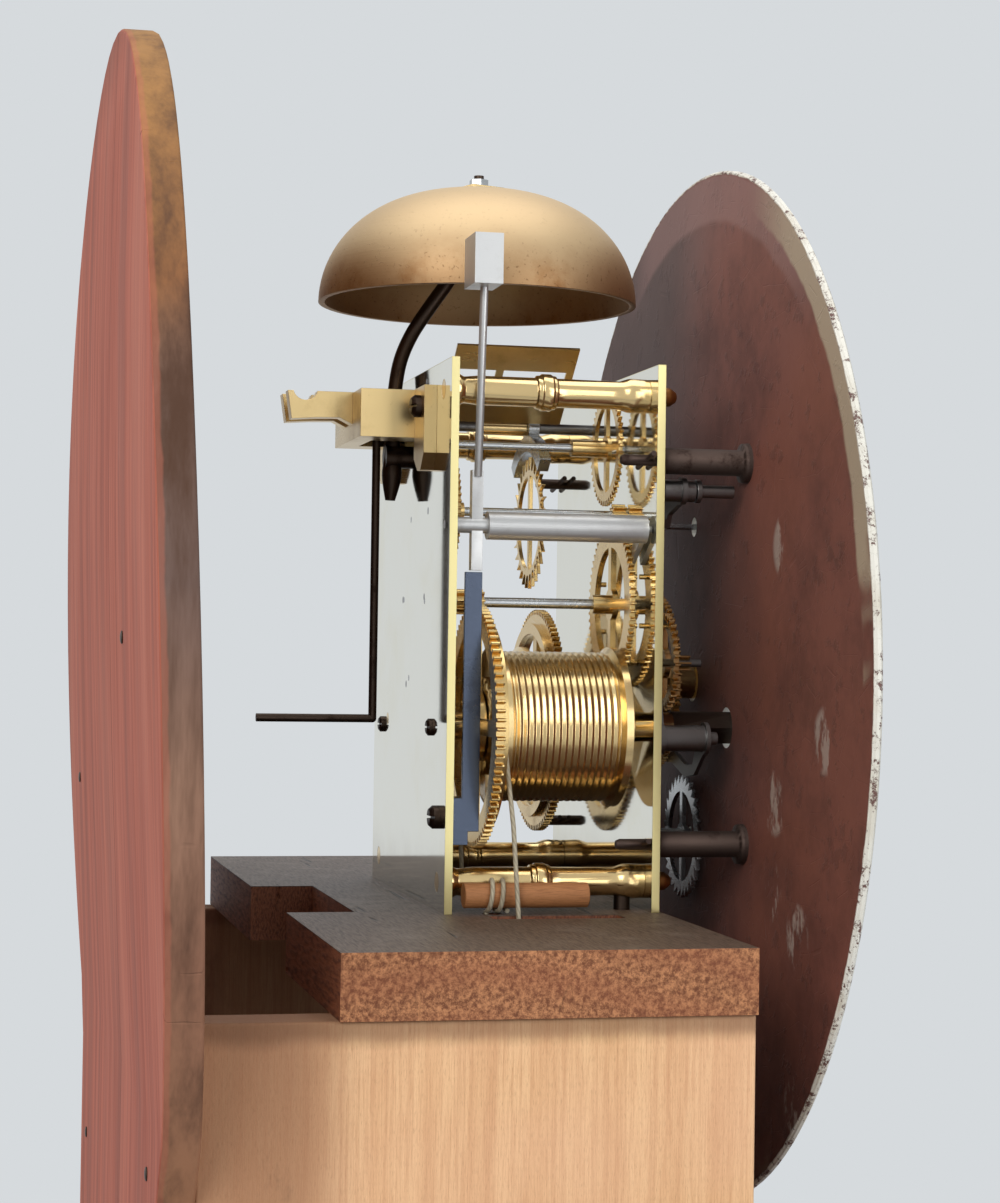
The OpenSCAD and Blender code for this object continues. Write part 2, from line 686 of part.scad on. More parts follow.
// A weight with its hook ring, hung from the pulley's stirrup
module driving_weight(x) {
  w = pulley_t / 2 + 0.5;
  strap_w = 10;
  hook_l = 12;
  top = pulley_z - pulley_r - 14;
  translate([x, plate_back_y + fall_y, 0]) {
    translate([0, w + strap_t, pulley_z]) rotate([90, 0, 0])
      cylinder(r = pulley_pin_r, h = 2 * (w + strap_t));
    for (y = [w, -w - strap_t]) translate([-strap_w / 2, y, top])
      cube([strap_w, strap_t, pulley_z - top + 6]);
    translate([-strap_w / 2, -w - strap_t, top - 3]) cube([strap_w, 2 * (w + strap_t), 3]);
    translate([0, 0, top - hook_l - 1]) cylinder(r = 3.2, h = hook_l + 1);
    translate([0, 0, top - hook_l - weight_l]) rotate_extrude() polygon([[0, 0], [weight_r - 3, 0],
      [weight_r, 3], [weight_r, weight_l - 8], [weight_r - 3, weight_l - 3], [weight_r - 10, weight_l],
      [0, weight_l]]);
  }
}
module going_weight() { color([0.33, 0.33, 0.34]) driving_weight(going_weight_x); }
module strike_weight() { color([0.33, 0.33, 0.34]) driving_weight(strike_weight_x); }

// Pendulum, unhooked and stood on the floor board behind the weights
bob_t = 30;
park_y = 55;
pend_len = 1000;
nut_r = 7;
block_h = 9;
bob_centre_z = floor_z + seat_gap + 30 + bob_r;
pend_top_z = bob_centre_z + pend_len;
spring_l = 46;
module suspension() {
  in_park() {
    color(brass) translate([0, 0, pend_top_z]) {
      translate([-2.6, -4, -block_h / 2]) cube([5.2, 8, block_h]);
      rotate([0, 90, 0]) cylinder(r = 1.6, h = 24, center = true);
    }
    color(steel) translate([-0.15, -3, pend_top_z - block_h / 2 - spring_l]) cube([0.3, 6, spring_l]);
  }
}
module in_park() {
  translate([0, plate_back_y + park_y, 0]) children();
}
rod_top_z = pend_top_z - block_h / 2 - spring_l;
bob_under_z = bob_centre_z - bob_r;
thread_r = 2.2;
strip_w = 7;
strip_t = 2.4;
module pendulum_rod() {
  bottom = bob_under_z - 30;
  in_park() color(steel) {
    translate([0, 0, bottom]) cylinder(r = thread_r, h = bob_under_z - 0.15 - bottom);
    translate([-strip_w / 2, -strip_t / 2, bob_under_z - 0.2])
      cube([strip_w, strip_t, rod_top_z - 6 - bob_under_z]);
    translate([-4, -2.6, rod_top_z - 12]) cube([8, 5.2, 12]);
  }
}
// The bob's lens outline, from its back to its front
function bob_rim() = [for (a = [-90 : 15 : 90])
  [bob_r - 8 + 8 * cos(a), bob_t / 2 + (bob_t / 2 - 5 + 5 * abs(sin(a))) * sin(a)]];
module pendulum_bob() {
  in_park() {
    color(brass) difference() {
      translate([0, bob_t / 2, bob_centre_z]) rotate([90, 0, 0]) rotate_extrude($fn = 72)
        polygon(concat([[0, 0]], bob_rim(), [[0, bob_t]]));
      translate([-strip_w / 2 - 0.1, -strip_t / 2 - 0.1, bob_under_z - 1])
        cube([strip_w + 0.2, strip_t + 0.2, 2 * bob_r + 2]);
    }
    color(brass) translate([0, 0, bob_under_z - 12.3]) difference() {
      rotate_extrude() polygon([[0, 0], [nut_r - 1, 0], [nut_r, 1], [nut_r, 7], [nut_r - 1, 8],
        [4, 9], [4, 12], [0, 12]]);
      translate([0, 0, -1]) cylinder(r = thread_r + spigot_fit, h = 14);
    }
  }
}

// Dial, its feet and the hands
square_hole_r = 6.4;
module dial() {
  color([0.93, 0.91, 0.86]) in_movement() difference() {
    translate([centre_at[0], dial_back, centre_at[1]]) rotate([90, 0, 0]) rotate_extrude($fn = 120)
      polygon([[0, 0], [dial_r - 0.6, 0], [dial_r, 0.8], [dial_r, dial_t - 0.9],
        [dial_r - 1.2, dial_t], [0, dial_t]]);
    rod(centre_at, dial_back + 1, dial_front - 1, hour_pipe_r + 1);
    for (p = [great_going_at, great_strike_at]) rod(p, dial_back + 1, dial_front - 1, square_hole_r);
    for (p = [escape_at, date_at]) rod(p, dial_back + 1, dial_front - 1, 3.2);
  }
}

foot_inner_y = -54;
module dial_feet() {
  shoulder = foot_inner_y - front_out;
  length = foot_inner_y - dial_back;
  color(dark_steel) in_movement() for (p = feet_at) {
    on_axis(p, foot_inner_y) rotate_extrude() polygon([[0, 0], [foot_tenon_r - 0.5, 0],
      [foot_tenon_r, 1.2], [foot_tenon_r, shoulder], [foot_r - 0.4, shoulder], [foot_r, shoulder + 0.6],
      [foot_r, length - 2.5], [foot_r + 2, length - 2], [foot_r + 2.2, length], [0, length]]);
    translate([p[0], front_in + 1.6, p[1]]) rotate([0, 100, 0])
      cylinder(r = 0.8, h = 18, center = true);
  }
}

// A pierced hand pointing up: a tapering blade, a ring near its end and a boss on its pipe
module hand(l, boss_r, ring_r, bore_r, t) {
  difference() {
    linear_extrude(t) difference() {
      union() {
        polygon([[boss_r * 0.45, 0], [1.4, l * 0.68], [-1.4, l * 0.68], [-boss_r * 0.45, 0]]);
        translate([0, l * 0.7]) circle(ring_r);
        polygon([[1.7, l * 0.7], [0.4, l], [-0.4, l], [-1.7, l * 0.7]]);
        circle(boss_r);
      }
      translate([0, l * 0.7 + ring_r * 0.18]) circle(ring_r * 0.6);
    }
    translate([0, 0, -1]) cylinder(r = bore_r, h = t + 2);
  }
}

// Twenty past twelve: turns of the hands from upright, seen from the front
hour_hand_turn = -10;
minute_hand_turn = -120;
hour_hand_y = -99.5;
minute_hand_y = -102.8;
seconds_hand_y = -98.1;
hand_t = 1;
module hour_hand() {
  color(blued) in_movement() on_axis(centre_at, hour_hand_y) rotate(hour_hand_turn)
    hand(dial_r * 0.55, 9, 7.5, hour_pipe_r + spigot_fit, hand_t);
}
module minute_hand() {
  color(blued) in_movement() on_axis(centre_at, minute_hand_y) rotate(minute_hand_turn)
    hand(dial_r * 0.83, 7, 6, cannon_pipe_r + spigot_fit, hand_t);
}
module seconds_hand() {
  color(blued) in_movement() on_axis(escape_at, seconds_hand_y) rotate(60) difference() {
    linear_extrude(hand_t * 0.7) union() {
      circle(2.6);
      polygon([[1, -8], [0.5, 17], [-0.5, 17], [-1, -8]]);
      translate([0, -8]) circle(1.9);
    }
    translate([0, 0, -1]) cylinder(r = seconds_r + spigot_fit, h = 3);
  }
}

// Going train
going_wheel_y = -50;
great_t = 2.6;
great_bore = winding_r + pivot_play;
strike_wheel_y = -12.6;
module great_wheel(n, rp, ratchet_side) {
  difference() {
    union() {
      wheel(n, rp, great_t, 0, 4, 5.5, 11, great_bore, 5);
      click_z = ratchet_side > 0 ? great_t : -2;
      translate([0, 0, click_z]) linear_extrude(2) union() {
        translate([21, -8]) circle(2.6);
        polygon([[20, -9], [23, -8], [18.4, 2.6], [16.6, 1.5]]);
        polygon([[21.4, 4.4], [21.8, 3], [29.5, 5], [29.5, 7]]);
        translate([30, 6]) circle(2);
        difference() {
          circle(32.5);
          circle(29);
        }
      }
    }
    translate([0, 0, -4]) cylinder(r = great_bore, h = great_t + 8);
  }
}
module going_great_wheel() {
  color(brass) in_movement() on_axis(great_going_at, going_wheel_y)
    great_wheel(going_great_n, pitch_r(great_going_at, centre_at, going_great_n, centre_pinion_n), -1);
}
module strike_great_wheel() {
  color(brass) in_movement() on_axis(great_strike_at, strike_wheel_y)
    great_wheel(strike_great_n, pitch_r(great_strike_at, pin_at, strike_great_n, pin_pinion_n), 1);
}

// Ratchet wheel, grooved drum and end cap, turned round the winding arbor
ratchet_n = 24;
ratchet_r = 15;
function ratchet_ring(n, r, depth) = [for (k = [0 : n - 1]) each
  [[r * cos(k * 360 / n), r * sin(k * 360 / n)],
   [(r - depth) * cos((k + 0.08) * 360 / n), (r - depth) * sin((k + 0.08) * 360 / n)]]];
groove_n = 17;
// Drum from y to y_end, its grooves between the two flanges
module drum(l) {
  flange = 2.2;
  pitch = (l - 2 * flange - 1) / groove_n;
  rotate_extrude($fn = 72) polygon(concat([[0, 0], [drum_r + 1.6, 0], [drum_r + 1.6, flange]],
    [for (k = [0 : groove_n - 1]) each
      [[drum_r, flange + 0.5 + pitch * (k + 0.12)], [drum_r - 0.55, flange + 0.5 + pitch * (k + 0.36)],
       [drum_r - 0.55, flange + 0.5 + pitch * (k + 0.64)], [drum_r, flange + 0.5 + pitch * (k + 0.88)]]],
    [[drum_r + 1.6, l - flange], [drum_r + 1.6, l], [0, l]]));
}

square_start = -76;
square_end = -98.6;
square_w = 7;
module winding_arbor(at) {
  rod(at, 0, -back_plate_t - 0.4, barrel_pivot_r);
  rod(at, -back_plate_t - 0.3, square_start, winding_r);
  on_axis(at, square_start + eps) rotate(45) translate([-square_w / 2, -square_w / 2, 0])
    cube([square_w, square_w, square_start - square_end]);
}

module going_barrel() {
  in_movement() {
    color(brass) {
      on_axis(great_going_at, -12) drum(34.5);
      on_axis(great_going_at, -46.6) linear_extrude(2.2) polygon(ratchet_ring(ratchet_n, ratchet_r, 1.6));
    }
    color(steel) winding_arbor(great_going_at);
  }
}
module strike_barrel() {
  in_movement() {
    color(brass) {
      on_axis(great_strike_at, -18.2) drum(39.4);
      on_axis(great_strike_at, -15.6) linear_extrude(2.7) polygon(ratchet_ring(ratchet_n, ratchet_r, 1.6));
    }
    color(steel) winding_arbor(great_strike_at);
  }
}

// An arbor between its pivots, with a pinion cut on it
module arbor(at, r, y0 = -back_plate_t - 0.25, y1 = front_in + 0.25) {
  rod(at, 0, front_out, pivot_r);
  rod(at, y0, y1, r);
}

module pinion_on(at, y, n, rp, l, turn) {
  on_axis(at, y) pinion(n, rp, l, turn);
}

module centre_wheel() {
  in_movement() {
    color(steel) {
      rod(centre_at, 0, -back_plate_t - 0.3, pivot_r);
      rod(centre_at, -back_plate_t - 0.25, -107, centre_r);
      pinion_on(centre_at, -48.4, centre_pinion_n,
        pitch_r(centre_at, great_going_at, centre_pinion_n, going_great_n), 6.2, centre_pinion_turn);
    }
    color(brass) {
      on_axis(centre_at, -5)
        wheel(centre_n, pitch_r(centre_at, third_at, centre_n, third_pinion_n), 1.6, 0,
          4, 3, 5, centre_r - eps);
      rod(centre_at, -3, -5.1, 3);
      rod(centre_at, -106.4, -107.2, 2.6);
    }
  }
}

module third_wheel() {
  in_movement() {
    color(steel) {
      arbor(third_at, 1.4);
      pinion_on(third_at, -3.8, third_pinion_n, pitch_r(third_at, centre_at, third_pinion_n, centre_n),
        4.6, third_pinion_turn);
    }
    color(brass) {
      on_axis(third_at, -8.8)
        wheel(third_n, pitch_r(third_at, escape_at, third_n, escape_pinion_n), 1.4, 0,
          4, 2.6, 4.6, 1.4 - eps);
      rod(third_at, -10.1, -14.5, 2.9);
    }
  }
}

// Escape wheel with slender forward-leaning teeth
escape_r = 21.3;
escape_y = -38.4;
escape_t = 1.2;
function escape_ring(n, r) = let (p = 360 / n) [for (k = [0 : n - 1]) each
  [for (q = [[-0.30, 0.80], [-0.12, 0.82], [0.10, 0.90], [0.30, 1], [0.37, 1], [0.30, 0.90], [0.28, 0.82],
             [0.40, 0.80]])
    [r * q[1] * cos((k + q[0]) * p), r * q[1] * sin((k + q[0]) * p)]]];
module escape_wheel() {
  color(brass) in_movement() {
    on_axis(escape_at, escape_y) difference() {
      linear_extrude(escape_t) difference() {
        polygon(escape_ring(escape_n, escape_r));
        crossings(4.2, escape_r * 0.8 - 1.8, 4, 2.2);
      }
      translate([0, 0, -1]) cylinder(r = 1.2 + spigot_fit, h = escape_t + 2);
    }
    on_axis(escape_at, escape_y - escape_t + eps) difference() {
      cylinder(r = 3, h = 4);
      translate([0, 0, -1]) cylinder(r = 1.2 + spigot_fit, h = 6);
    }
  }
}
module escape_arbor() {
  color(steel) in_movement() {
    rod(escape_at, 0, -back_plate_t - 0.3, pivot_r);
    rod(escape_at, -back_plate_t - 0.25, front_in + 0.25, 1.2);
    rod(escape_at, front_in + 1, -99.4, seconds_r);
    pinion_on(escape_at, -7, escape_pinion_n, pitch_r(escape_at, third_at, escape_pinion_n, third_n),
      5, escape_pinion_turn);
  }
}

// Anchor, held just outside the escape wheel's tooth tips
anchor_gap = 1.4;
anchor_span = 47;
anchor_w = 5.4;
module anchor() {
  rise = pallet_at[1] - escape_at[1];
  r_in = escape_r + anchor_gap;
  color(dark_steel) in_movement() on_axis(pallet_at, -37.2) difference() {
      linear_extrude(3.6) union() {
        circle(4.6);
        difference() {
          intersection() {
            translate([0, -rise]) circle(r_in + anchor_w);
            translate([0, -rise]) polygon([[0, 0], 80 * [sin(anchor_span), cos(anchor_span)], [0, 90],
              80 * [-sin(anchor_span), cos(anchor_span)]]);
          }
          translate([0, -rise]) circle(r_in);
          translate([0, -rise + r_in + anchor_w + 6]) circle(7.2);
        }
        translate([-3.2, -6]) square([6.4, 6]);
      }
    translate([0, 0, -1]) cylinder(r = 1.7 + spigot_fit, h = 6);
  }
}

module pallet_arbor() {
  in_movement() {
    color(steel) {
      rod(pallet_at, 20, 14.4, pivot_r);
      rod(pallet_at, 14.5, front_in + 0.25, 1.7);
      rod(pallet_at, front_in + 0.3, front_out, pivot_r);
      rod(pallet_at, 13.6, 8.4, 3.4);
    }
    color(brass) rod(pallet_at, -21.8, -37.1, 2.6);
    color(dark_steel) {
      translate([0, 11.6, 56]) cylinder(r = 1.3, h = 91);
      translate([0, 11.6, 56]) sphere(r = 1.3);
      translate([0, 11.6, 56]) rotate([-90, 0, 0]) cylinder(r = 1.3, h = 37.1);
    }
  }
}

// Strike train
module pin_wheel() {
  rp = pitch_r(pin_at, gather_at, pin_n, gather_pinion_n);
  in_movement() {
    color(steel) {
      arbor(pin_at, 1.6);
      pinion_on(pin_at, -9.5, pin_pinion_n, pitch_r(pin_at, great_strike_at, pin_pinion_n, strike_great_n),
        9, pin_pinion_turn);
    }
    color(brass) {
      on_axis(pin_at, -59.2) wheel(pin_n, rp, 1.8, 0, 4, 6, 5, 1.6 - eps);
      rod(pin_at, -53.5, -59.3, 3);
    }
    color(steel) for (k = [0 : 7])
      rod(pin_at + (rp - 5.2) * [cos(k * 45 + 20), sin(k * 45 + 20)], -60.9, -63.1, 0.8);
  }
}
module gathering_wheel() {
  in_movement() {
    color(steel) {
      rod(gather_at, 0, -back_plate_t - 0.3, pivot_r);
      rod(gather_at, -back_plate_t - 0.25, front_in + 0.25, 1.4);
      rod(gather_at, front_in + 0.3, -70.2, gather_front_r);
      pinion_on(gather_at, -58.7, gather_pinion_n, pitch_r(gather_at, pin_at, gather_pinion_n, pin_n),
        4.3, gather_pinion_turn);
    }
    color(brass) {
      on_axis(gather_at, -5.2)
        wheel(gather_n, pitch_r(gather_at, warn_at, gather_n, warn_pinion_n), 1.4, 0,
          4, 2.4, 4.4, 1.4 - eps);
      rod(gather_at, -6.5, -11, 2.8);
    }
  }
}
module gathering_pallet() {
  color(steel) in_movement() on_axis(gather_at, rack_y) difference() {
    linear_extrude(rack_t) union() {
      circle(3);
      rotate(-20) polygon([[2, 0], [0.5, 5.6], [-0.5, 5.6], [-1.6, 0]]);
    }
    translate([0, 0, -1]) cylinder(r = gather_front_r + spigot_fit, h = 4);
  }
}
module warning_wheel() {
  rp = pitch_r(warn_at, fly_at, warn_n, fly_pinion_n);
  in_movement() {
    color(steel) {
      arbor(warn_at, 1.3);
      pinion_on(warn_at, -3.9, warn_pinion_n, pitch_r(warn_at, gather_at, warn_pinion_n, gather_n),
        4.6, warn_pinion_turn);
      rod([warn_at[0], warn_at[1] + rp - 2.6], -54, -57.4, 0.6);
    }
    color(brass) {
      on_axis(warn_at, -57) wheel(warn_n, rp, 1.3, 0, 4, 2.6, 4.2, 1.3 - eps, 2.4);
      rod(warn_at, -46, -57.1, 2.7);
    }
  }
}

// Fly: a brass vane clipped to its arbor, at a slant
fly_turn = 140;
fly_half = 16.4;
fly_inner = 6.4;
fly_y = -7;
fly_l = 38.8;
fly_t = 0.8;
fly_strap = 2.4;
module fly() {
  in_movement() {
    color(steel) {
      arbor(fly_at, 1.1);
      pinion_on(fly_at, -55.6, fly_pinion_n, pitch_r(fly_at, warn_at, fly_pinion_n, warn_n),
        4.4, fly_pinion_turn);
    }
    color(brass) on_axis(fly_at, fly_y) rotate(fly_turn) {
      for (x = [-fly_half, fly_inner]) translate([x, -fly_t / 2, 0])
        cube([fly_half - fly_inner, fly_t, fly_l]);
      for (z = [0, fly_l * 0.36, fly_l - fly_strap]) translate([0, 0, z]) {
        translate([-fly_inner - 0.2, -fly_t / 2, 0]) cube([2 * fly_inner + 0.4, fly_t, fly_strap]);
        cylinder(r = 1.9, h = fly_strap);
      }
    }
  }
}

// Hammer: arbor, flat bar, stem and block, with the tail that the wheel's pins lift
head_z = 186;
module hammer() {
  in_movement() {
    color(steel) {
      rod(hammer_at, 0, front_out, hammer_pivot_r);
      rod(hammer_at, -13, -62.4, 4.25);
      rod(hammer_at, -2.8, -13.1, 2.4);
      translate([hammer_at[0] - 1.7, -11.4, 102]) cube([3.4, 3.4, 30]);
      translate([hammer_at[0] - 1.7, -9.7, 130]) rotate([0, -5.2, 0]) cylinder(r = 1.2, h = head_z - 129);
      translate([-70, -13.4, head_z]) cube([15, 8.6, 15]);
      on_axis(hammer_at, -61) linear_extrude(1.6)
        polygon([[-3, 2], [2, -4], [12.6, -10.4], [13.6, -8.6], [3.4, 2.4]]);
    }
  }
}

// Motion work
module cannon_wheel() {
  color(brass) in_movement() difference() {
    union() {
      on_axis(centre_at, cannon_y)
        wheel(cannon_n, gap_between(centre_at, minute_at) / 2, cannon_t, 0, 4, 2.6, 5.4, cannon_bore, 2.6);
      rod(centre_at, front_out - 1, -105.4, cannon_pipe_r);
    }
    rod(centre_at, front_out, -107, cannon_bore);
  }
}

minute_pinion_l = 7.4;
module minute_wheel() {
  rp = pitch_r(minute_at, centre_at, minute_pinion_n, hour_n);
  color(brass) in_movement() difference() {
    union() {
      on_axis(minute_at, cannon_y)
        wheel(minute_n, gap_between(centre_at, minute_at) / 2, cannon_t, minute_turn,
          4, 2.4, 5, minute_stud_r, 2.6);
      on_axis(minute_at, cannon_y - cannon_t + eps) pinion(minute_pinion_n, rp, minute_pinion_l, 0);
      rod([minute_at[0], minute_at[1] + 11.4], cannon_y + 3, cannon_y - 0.5, 0.8);
    }
    rod(minute_at, front_out, -95, minute_stud_r + pivot_play);
  }
}

// Rack: its tail drops on the snail, so the snail's steps are worked out from the rack
rack_arm = 66;
rack_pitch = 1.55;
tail_r = 50;
tail_pin_r = 0.8;
tail_gap = 0.3;
tail_turn = -9.3;
rack_contact = bearing(rack_at, gather_at);
function tail_at(hours) = let (a = tail_turn + hours * rack_pitch) rack_at + tail_r * [cos(a), sin(a)];
function snail_r(hours) = norm(tail_at(hours) - centre_at) - tail_pin_r - 0.35;
hour_turn_now = 20 / 60 * 30;
// Turn by which each step comes under the tail's pin before its hour
snail_lead = 11.8;
module snail() {
  twelve = bearing(centre_at, tail_at(12)) + 15 - snail_lead - hour_turn_now;
  polygon([for (h = [1 : 12], a = [-15 : 3 : 15]) let (turn = twelve + (h - 12) * 30 + a)
    snail_r(h) * [cos(turn), sin(turn)]]);
}
module hour_wheel() {
  color(brass) in_movement() difference() {
    union() {
      on_axis(centre_at, hour_y)
        wheel(hour_n, pitch_r(centre_at, minute_at, hour_n, minute_pinion_n), hour_t, hour_turn,
          6, 2.6, hour_pipe_r + 1, bridge_pipe_r, 2.4);
      on_axis(centre_at, hour_y - hour_t + eps) linear_extrude(snail_t) snail();
      rod(centre_at, hour_y + 0.4, -101.6, hour_pipe_r);
    }
    rod(centre_at, hour_y + 2, -103, bridge_pipe_r + pivot_play);
  }
}
// Just behind the dial
date_y = dial_back + 3.2;
module date_wheel() {
  in_movement() {
    color(steel) difference() {
      union() {
        on_axis(date_at, date_y) linear_extrude(1.4) difference() {
          polygon(ratchet_ring(date_n, 20, 3));
          crossings(4.4, 14.6, 4, 2.6);
        }
        rod(date_at, -68.4, -98.4, 2.6);
      }
      rod(date_at, -60, -93, date_stud_r + pivot_play);
    }
    color(blued) on_axis(date_at, -98.2) rotate(40) linear_extrude(0.7) union() {
      circle(2.6);
      polygon([[-0.9, -7], [-0.5, 15], [0.5, 15], [0.9, -7]]);
    }
  }
}

rack_tooth_h = 1.3;
rack_teeth = 17;
module rack() {
  first = rack_contact - 12 * rack_pitch;
  snail_plane = hour_y - hour_t;
  color(steel) in_movement() difference() {
    union() {
      on_axis(rack_at, rack_y) linear_extrude(rack_t) union() {
        circle(5);
        polygon(concat(
          [for (k = [0 : rack_teeth - 1]) each
            let (tip = first + (k - 0.45) * rack_pitch, root = first + (k + 0.4) * rack_pitch)
            [rack_arm * [cos(tip), sin(tip)], (rack_arm - rack_tooth_h) * [cos(root), sin(root)]]],
          [for (a = [first + (rack_teeth - 0.5) * rack_pitch : -4 : first])
             (rack_arm - 5) * [cos(a), sin(a)]],
          [(rack_arm - 5) * [cos(first - 0.7), sin(first - 0.7)]]));
        polygon([[-2.6, 3], 61.5 * [cos(rack_contact + 2.6), sin(rack_contact + 2.6)],
          61.5 * [cos(rack_contact - 2.2), sin(rack_contact - 2.2)], [3.4, 1.4]]);
      }
      rod(rack_at, -68.2, snail_plane - snail_t, 4);
      on_axis(rack_at, snail_plane - tail_gap)
        rotate(tail_turn) linear_extrude(snail_t - tail_gap) union() {
        circle(5);
        polygon([[0, -4.6], [11, -10], [21, -9.4], [34, -3.4], [49, -1.2], [48.8, 0], [32, 0.2], [20, -5.6],
          [12, -6.6], [4, 3]]);
        translate([tail_r, 0]) circle(tail_pin_r);
        translate([48.6, -1]) square([tail_r - 48.6, 1]);
      }
    }
    rod(rack_at, front_out, -95, stud_r + pivot_play);
  }
}

hook_beak = 78.3;
module rack_hook() {
  beak = rack_at + (rack_arm + 0.45) * [cos(hook_beak), sin(hook_beak)] - hook_at;
  color(steel) in_movement() difference() {
    union() {
      on_axis(hook_at, hook_y) linear_extrude(1.6) union() {
        circle(4.2);
        polygon([[0, -3.6], [beak[0] - 3, beak[1] + 4], beak, [beak[0] + 2, beak[1] + 2],
           [beak[0] + 4, beak[1] + 5.4],
          [35, -3.6], [35, -1.2], [16, -1.6], [3, 3.8]]);
      }
      on_axis(hook_at, rack_y) linear_extrude(rack_y - hook_y + 0.1)
        polygon([[beak[0] - 2, beak[1] + 2.6], beak, [beak[0] + 1.4, beak[1] + 2.6]]);
      on_axis(hook_at + [33.6, -3.2], lift_y) cylinder(r = 1, h = lift_y - hook_y + 0.1);
      rod(hook_at, -68.2, -78, 3.4);
    }
    rod(hook_at, front_out, -95, stud_r + pivot_play);
  }
}

module lifting_piece() {
  color(steel) in_movement() difference() {
    union() {
      on_axis(lift_at, lift_y) linear_extrude(1.6) union() {
        circle(4);
        polygon([[-1, -3.8], [-27, -18.8], [-29.4, -16.6], [-28.6, -14.6], [-3.6, 0]]);
        polygon([[-3, -2], [-23.4, 10.6], [-23.4, 13], [-19, 13], [0, 3.8]]);
      }
      rod(lift_at, -68.2, lift_y - 2.4, 3.4);
    }
    rod(lift_at, front_out, -95, stud_r + pivot_play);
  }
}

backboard();
trunk_sides();
trunk_front_frame();
trunk_door();
door_hardware();
hinge_pins();
case_mouldings();
base_case();
floor_board();
seat_board();
back_plate();
front_plate();
pillars();
steel_screws();
back_cock();
bell_stand();
bell();
bell_nut();
hammer_spring();
front_studs();
line_pegs();
gut_lines();
dial();
dial_feet();
hour_hand();
minute_hand();
seconds_hand();
going_great_wheel();
going_barrel();
centre_wheel();
third_wheel();
escape_wheel();
escape_arbor();
anchor();
pallet_arbor();
strike_great_wheel();
strike_barrel();
pin_wheel();
gathering_wheel();
gathering_pallet();
warning_wheel();
fly();
hammer();
cannon_wheel();
minute_wheel();
hour_wheel();
date_wheel();
rack();
rack_hook();
lifting_piece();
going_falls();
strike_falls();
going_weight();
strike_weight();
going_pulley();
strike_pulley();
suspension();
pendulum_rod();
pendulum_bob();
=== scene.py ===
"""The looks of a longcase clock without its hood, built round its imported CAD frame."""

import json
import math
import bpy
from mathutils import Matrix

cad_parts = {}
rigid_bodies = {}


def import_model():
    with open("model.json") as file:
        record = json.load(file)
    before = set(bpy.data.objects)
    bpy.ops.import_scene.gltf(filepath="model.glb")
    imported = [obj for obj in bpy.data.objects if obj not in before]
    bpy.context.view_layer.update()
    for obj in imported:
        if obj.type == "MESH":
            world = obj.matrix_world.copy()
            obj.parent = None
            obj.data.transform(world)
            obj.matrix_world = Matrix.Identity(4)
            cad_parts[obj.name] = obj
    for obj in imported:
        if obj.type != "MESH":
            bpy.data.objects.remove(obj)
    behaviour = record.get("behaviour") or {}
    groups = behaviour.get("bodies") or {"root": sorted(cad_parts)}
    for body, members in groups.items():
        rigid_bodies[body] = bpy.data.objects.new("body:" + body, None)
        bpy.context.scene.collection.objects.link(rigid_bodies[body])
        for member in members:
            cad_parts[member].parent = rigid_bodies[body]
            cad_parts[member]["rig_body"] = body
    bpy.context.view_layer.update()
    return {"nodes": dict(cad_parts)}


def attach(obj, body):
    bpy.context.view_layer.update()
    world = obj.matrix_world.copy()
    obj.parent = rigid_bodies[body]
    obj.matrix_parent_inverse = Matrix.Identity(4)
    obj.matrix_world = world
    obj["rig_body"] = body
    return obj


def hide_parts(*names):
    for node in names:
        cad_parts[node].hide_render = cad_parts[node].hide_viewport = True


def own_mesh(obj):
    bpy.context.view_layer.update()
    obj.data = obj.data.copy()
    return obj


bl_info = {
    "name": "Longcase Clock Looks",
    "version": (1, 0, 0),
    "blender": (4, 5, 0),
    "location": "View3D > Sidebar > Clock",
    "description": "Dresses the clock's case, movement, dial, lines, weights and pendulum",
    "category": "Object",
}

import bmesh
import bpy
from bpy.props import FloatProperty, FloatVectorProperty, PointerProperty
from mathutils import Matrix, Vector

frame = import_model()

# The body that doesn't move, then places and sizes of the CAD model in metres. The movement's datum is at the
# back plate's rear face, midway across the plates and on top of the seat board.
FIXED = "case_and_frame"
PLATE_BACK = 0.007
SEAT_TOP = 1.690
BOARD_BACK = 0.0985
TRUNK_INNER = 0.137
SEAT_HALF = 0.1535
PLATE_HALF = 0.062
PLATE_TALL = 0.165
BELL_MOUTH = SEAT_TOP + 0.189
DIAL_R = 0.165
DIAL_BACK = PLATE_BACK - 0.0942
DIAL_FRONT = DIAL_BACK - 0.0027
CENTRE = (0.0, 0.069)
SECONDS = (0.0, 0.1195)
DATE = (0.0, 0.0185)

# The backboard's head bows backwards above this height, by the rise, as part of a sine
BOW_FROM = 1.645
BOW_RISE = 0.0072
BOW_TURN = math.radians(125) / 0.311


def board_rear(z):
    """The y of the backboard's rear face at a height."""
    return BOARD_BACK + BOW_RISE * math.sin(BOW_TURN * max(z - BOW_FROM, 0.0))


def at(x, y, z):
    """A point given in millimetres from the movement's datum, in the frame's metres."""
    return Vector((x / 1000, PLATE_BACK + y / 1000, SEAT_TOP + z / 1000))


def tint(red, green, blue):
    """A colour as it is seen on screen, 0 to 255, for a shader."""
    return tuple(
        c / 12.92 if c <= 0.04045 else ((c + 0.055) / 1.055) ** 2.4
        for c in (v / 255 for v in (red, green, blue))
    ) + (1.0,)


# Sizes and colours that a user would change


def length(name, text, default, low, high):
    """A length in metres, for the panel."""
    return FloatProperty(
        name=name, description=text, default=default, min=low, max=high, precision=5, unit="LENGTH"
    )


def colour_of(name, text, *rgb):
    """A colour, for the panel."""
    return FloatVectorProperty(
        name=name, description=text, subtype="COLOR", size=4, default=tint(*rgb), min=0, max=1
    )


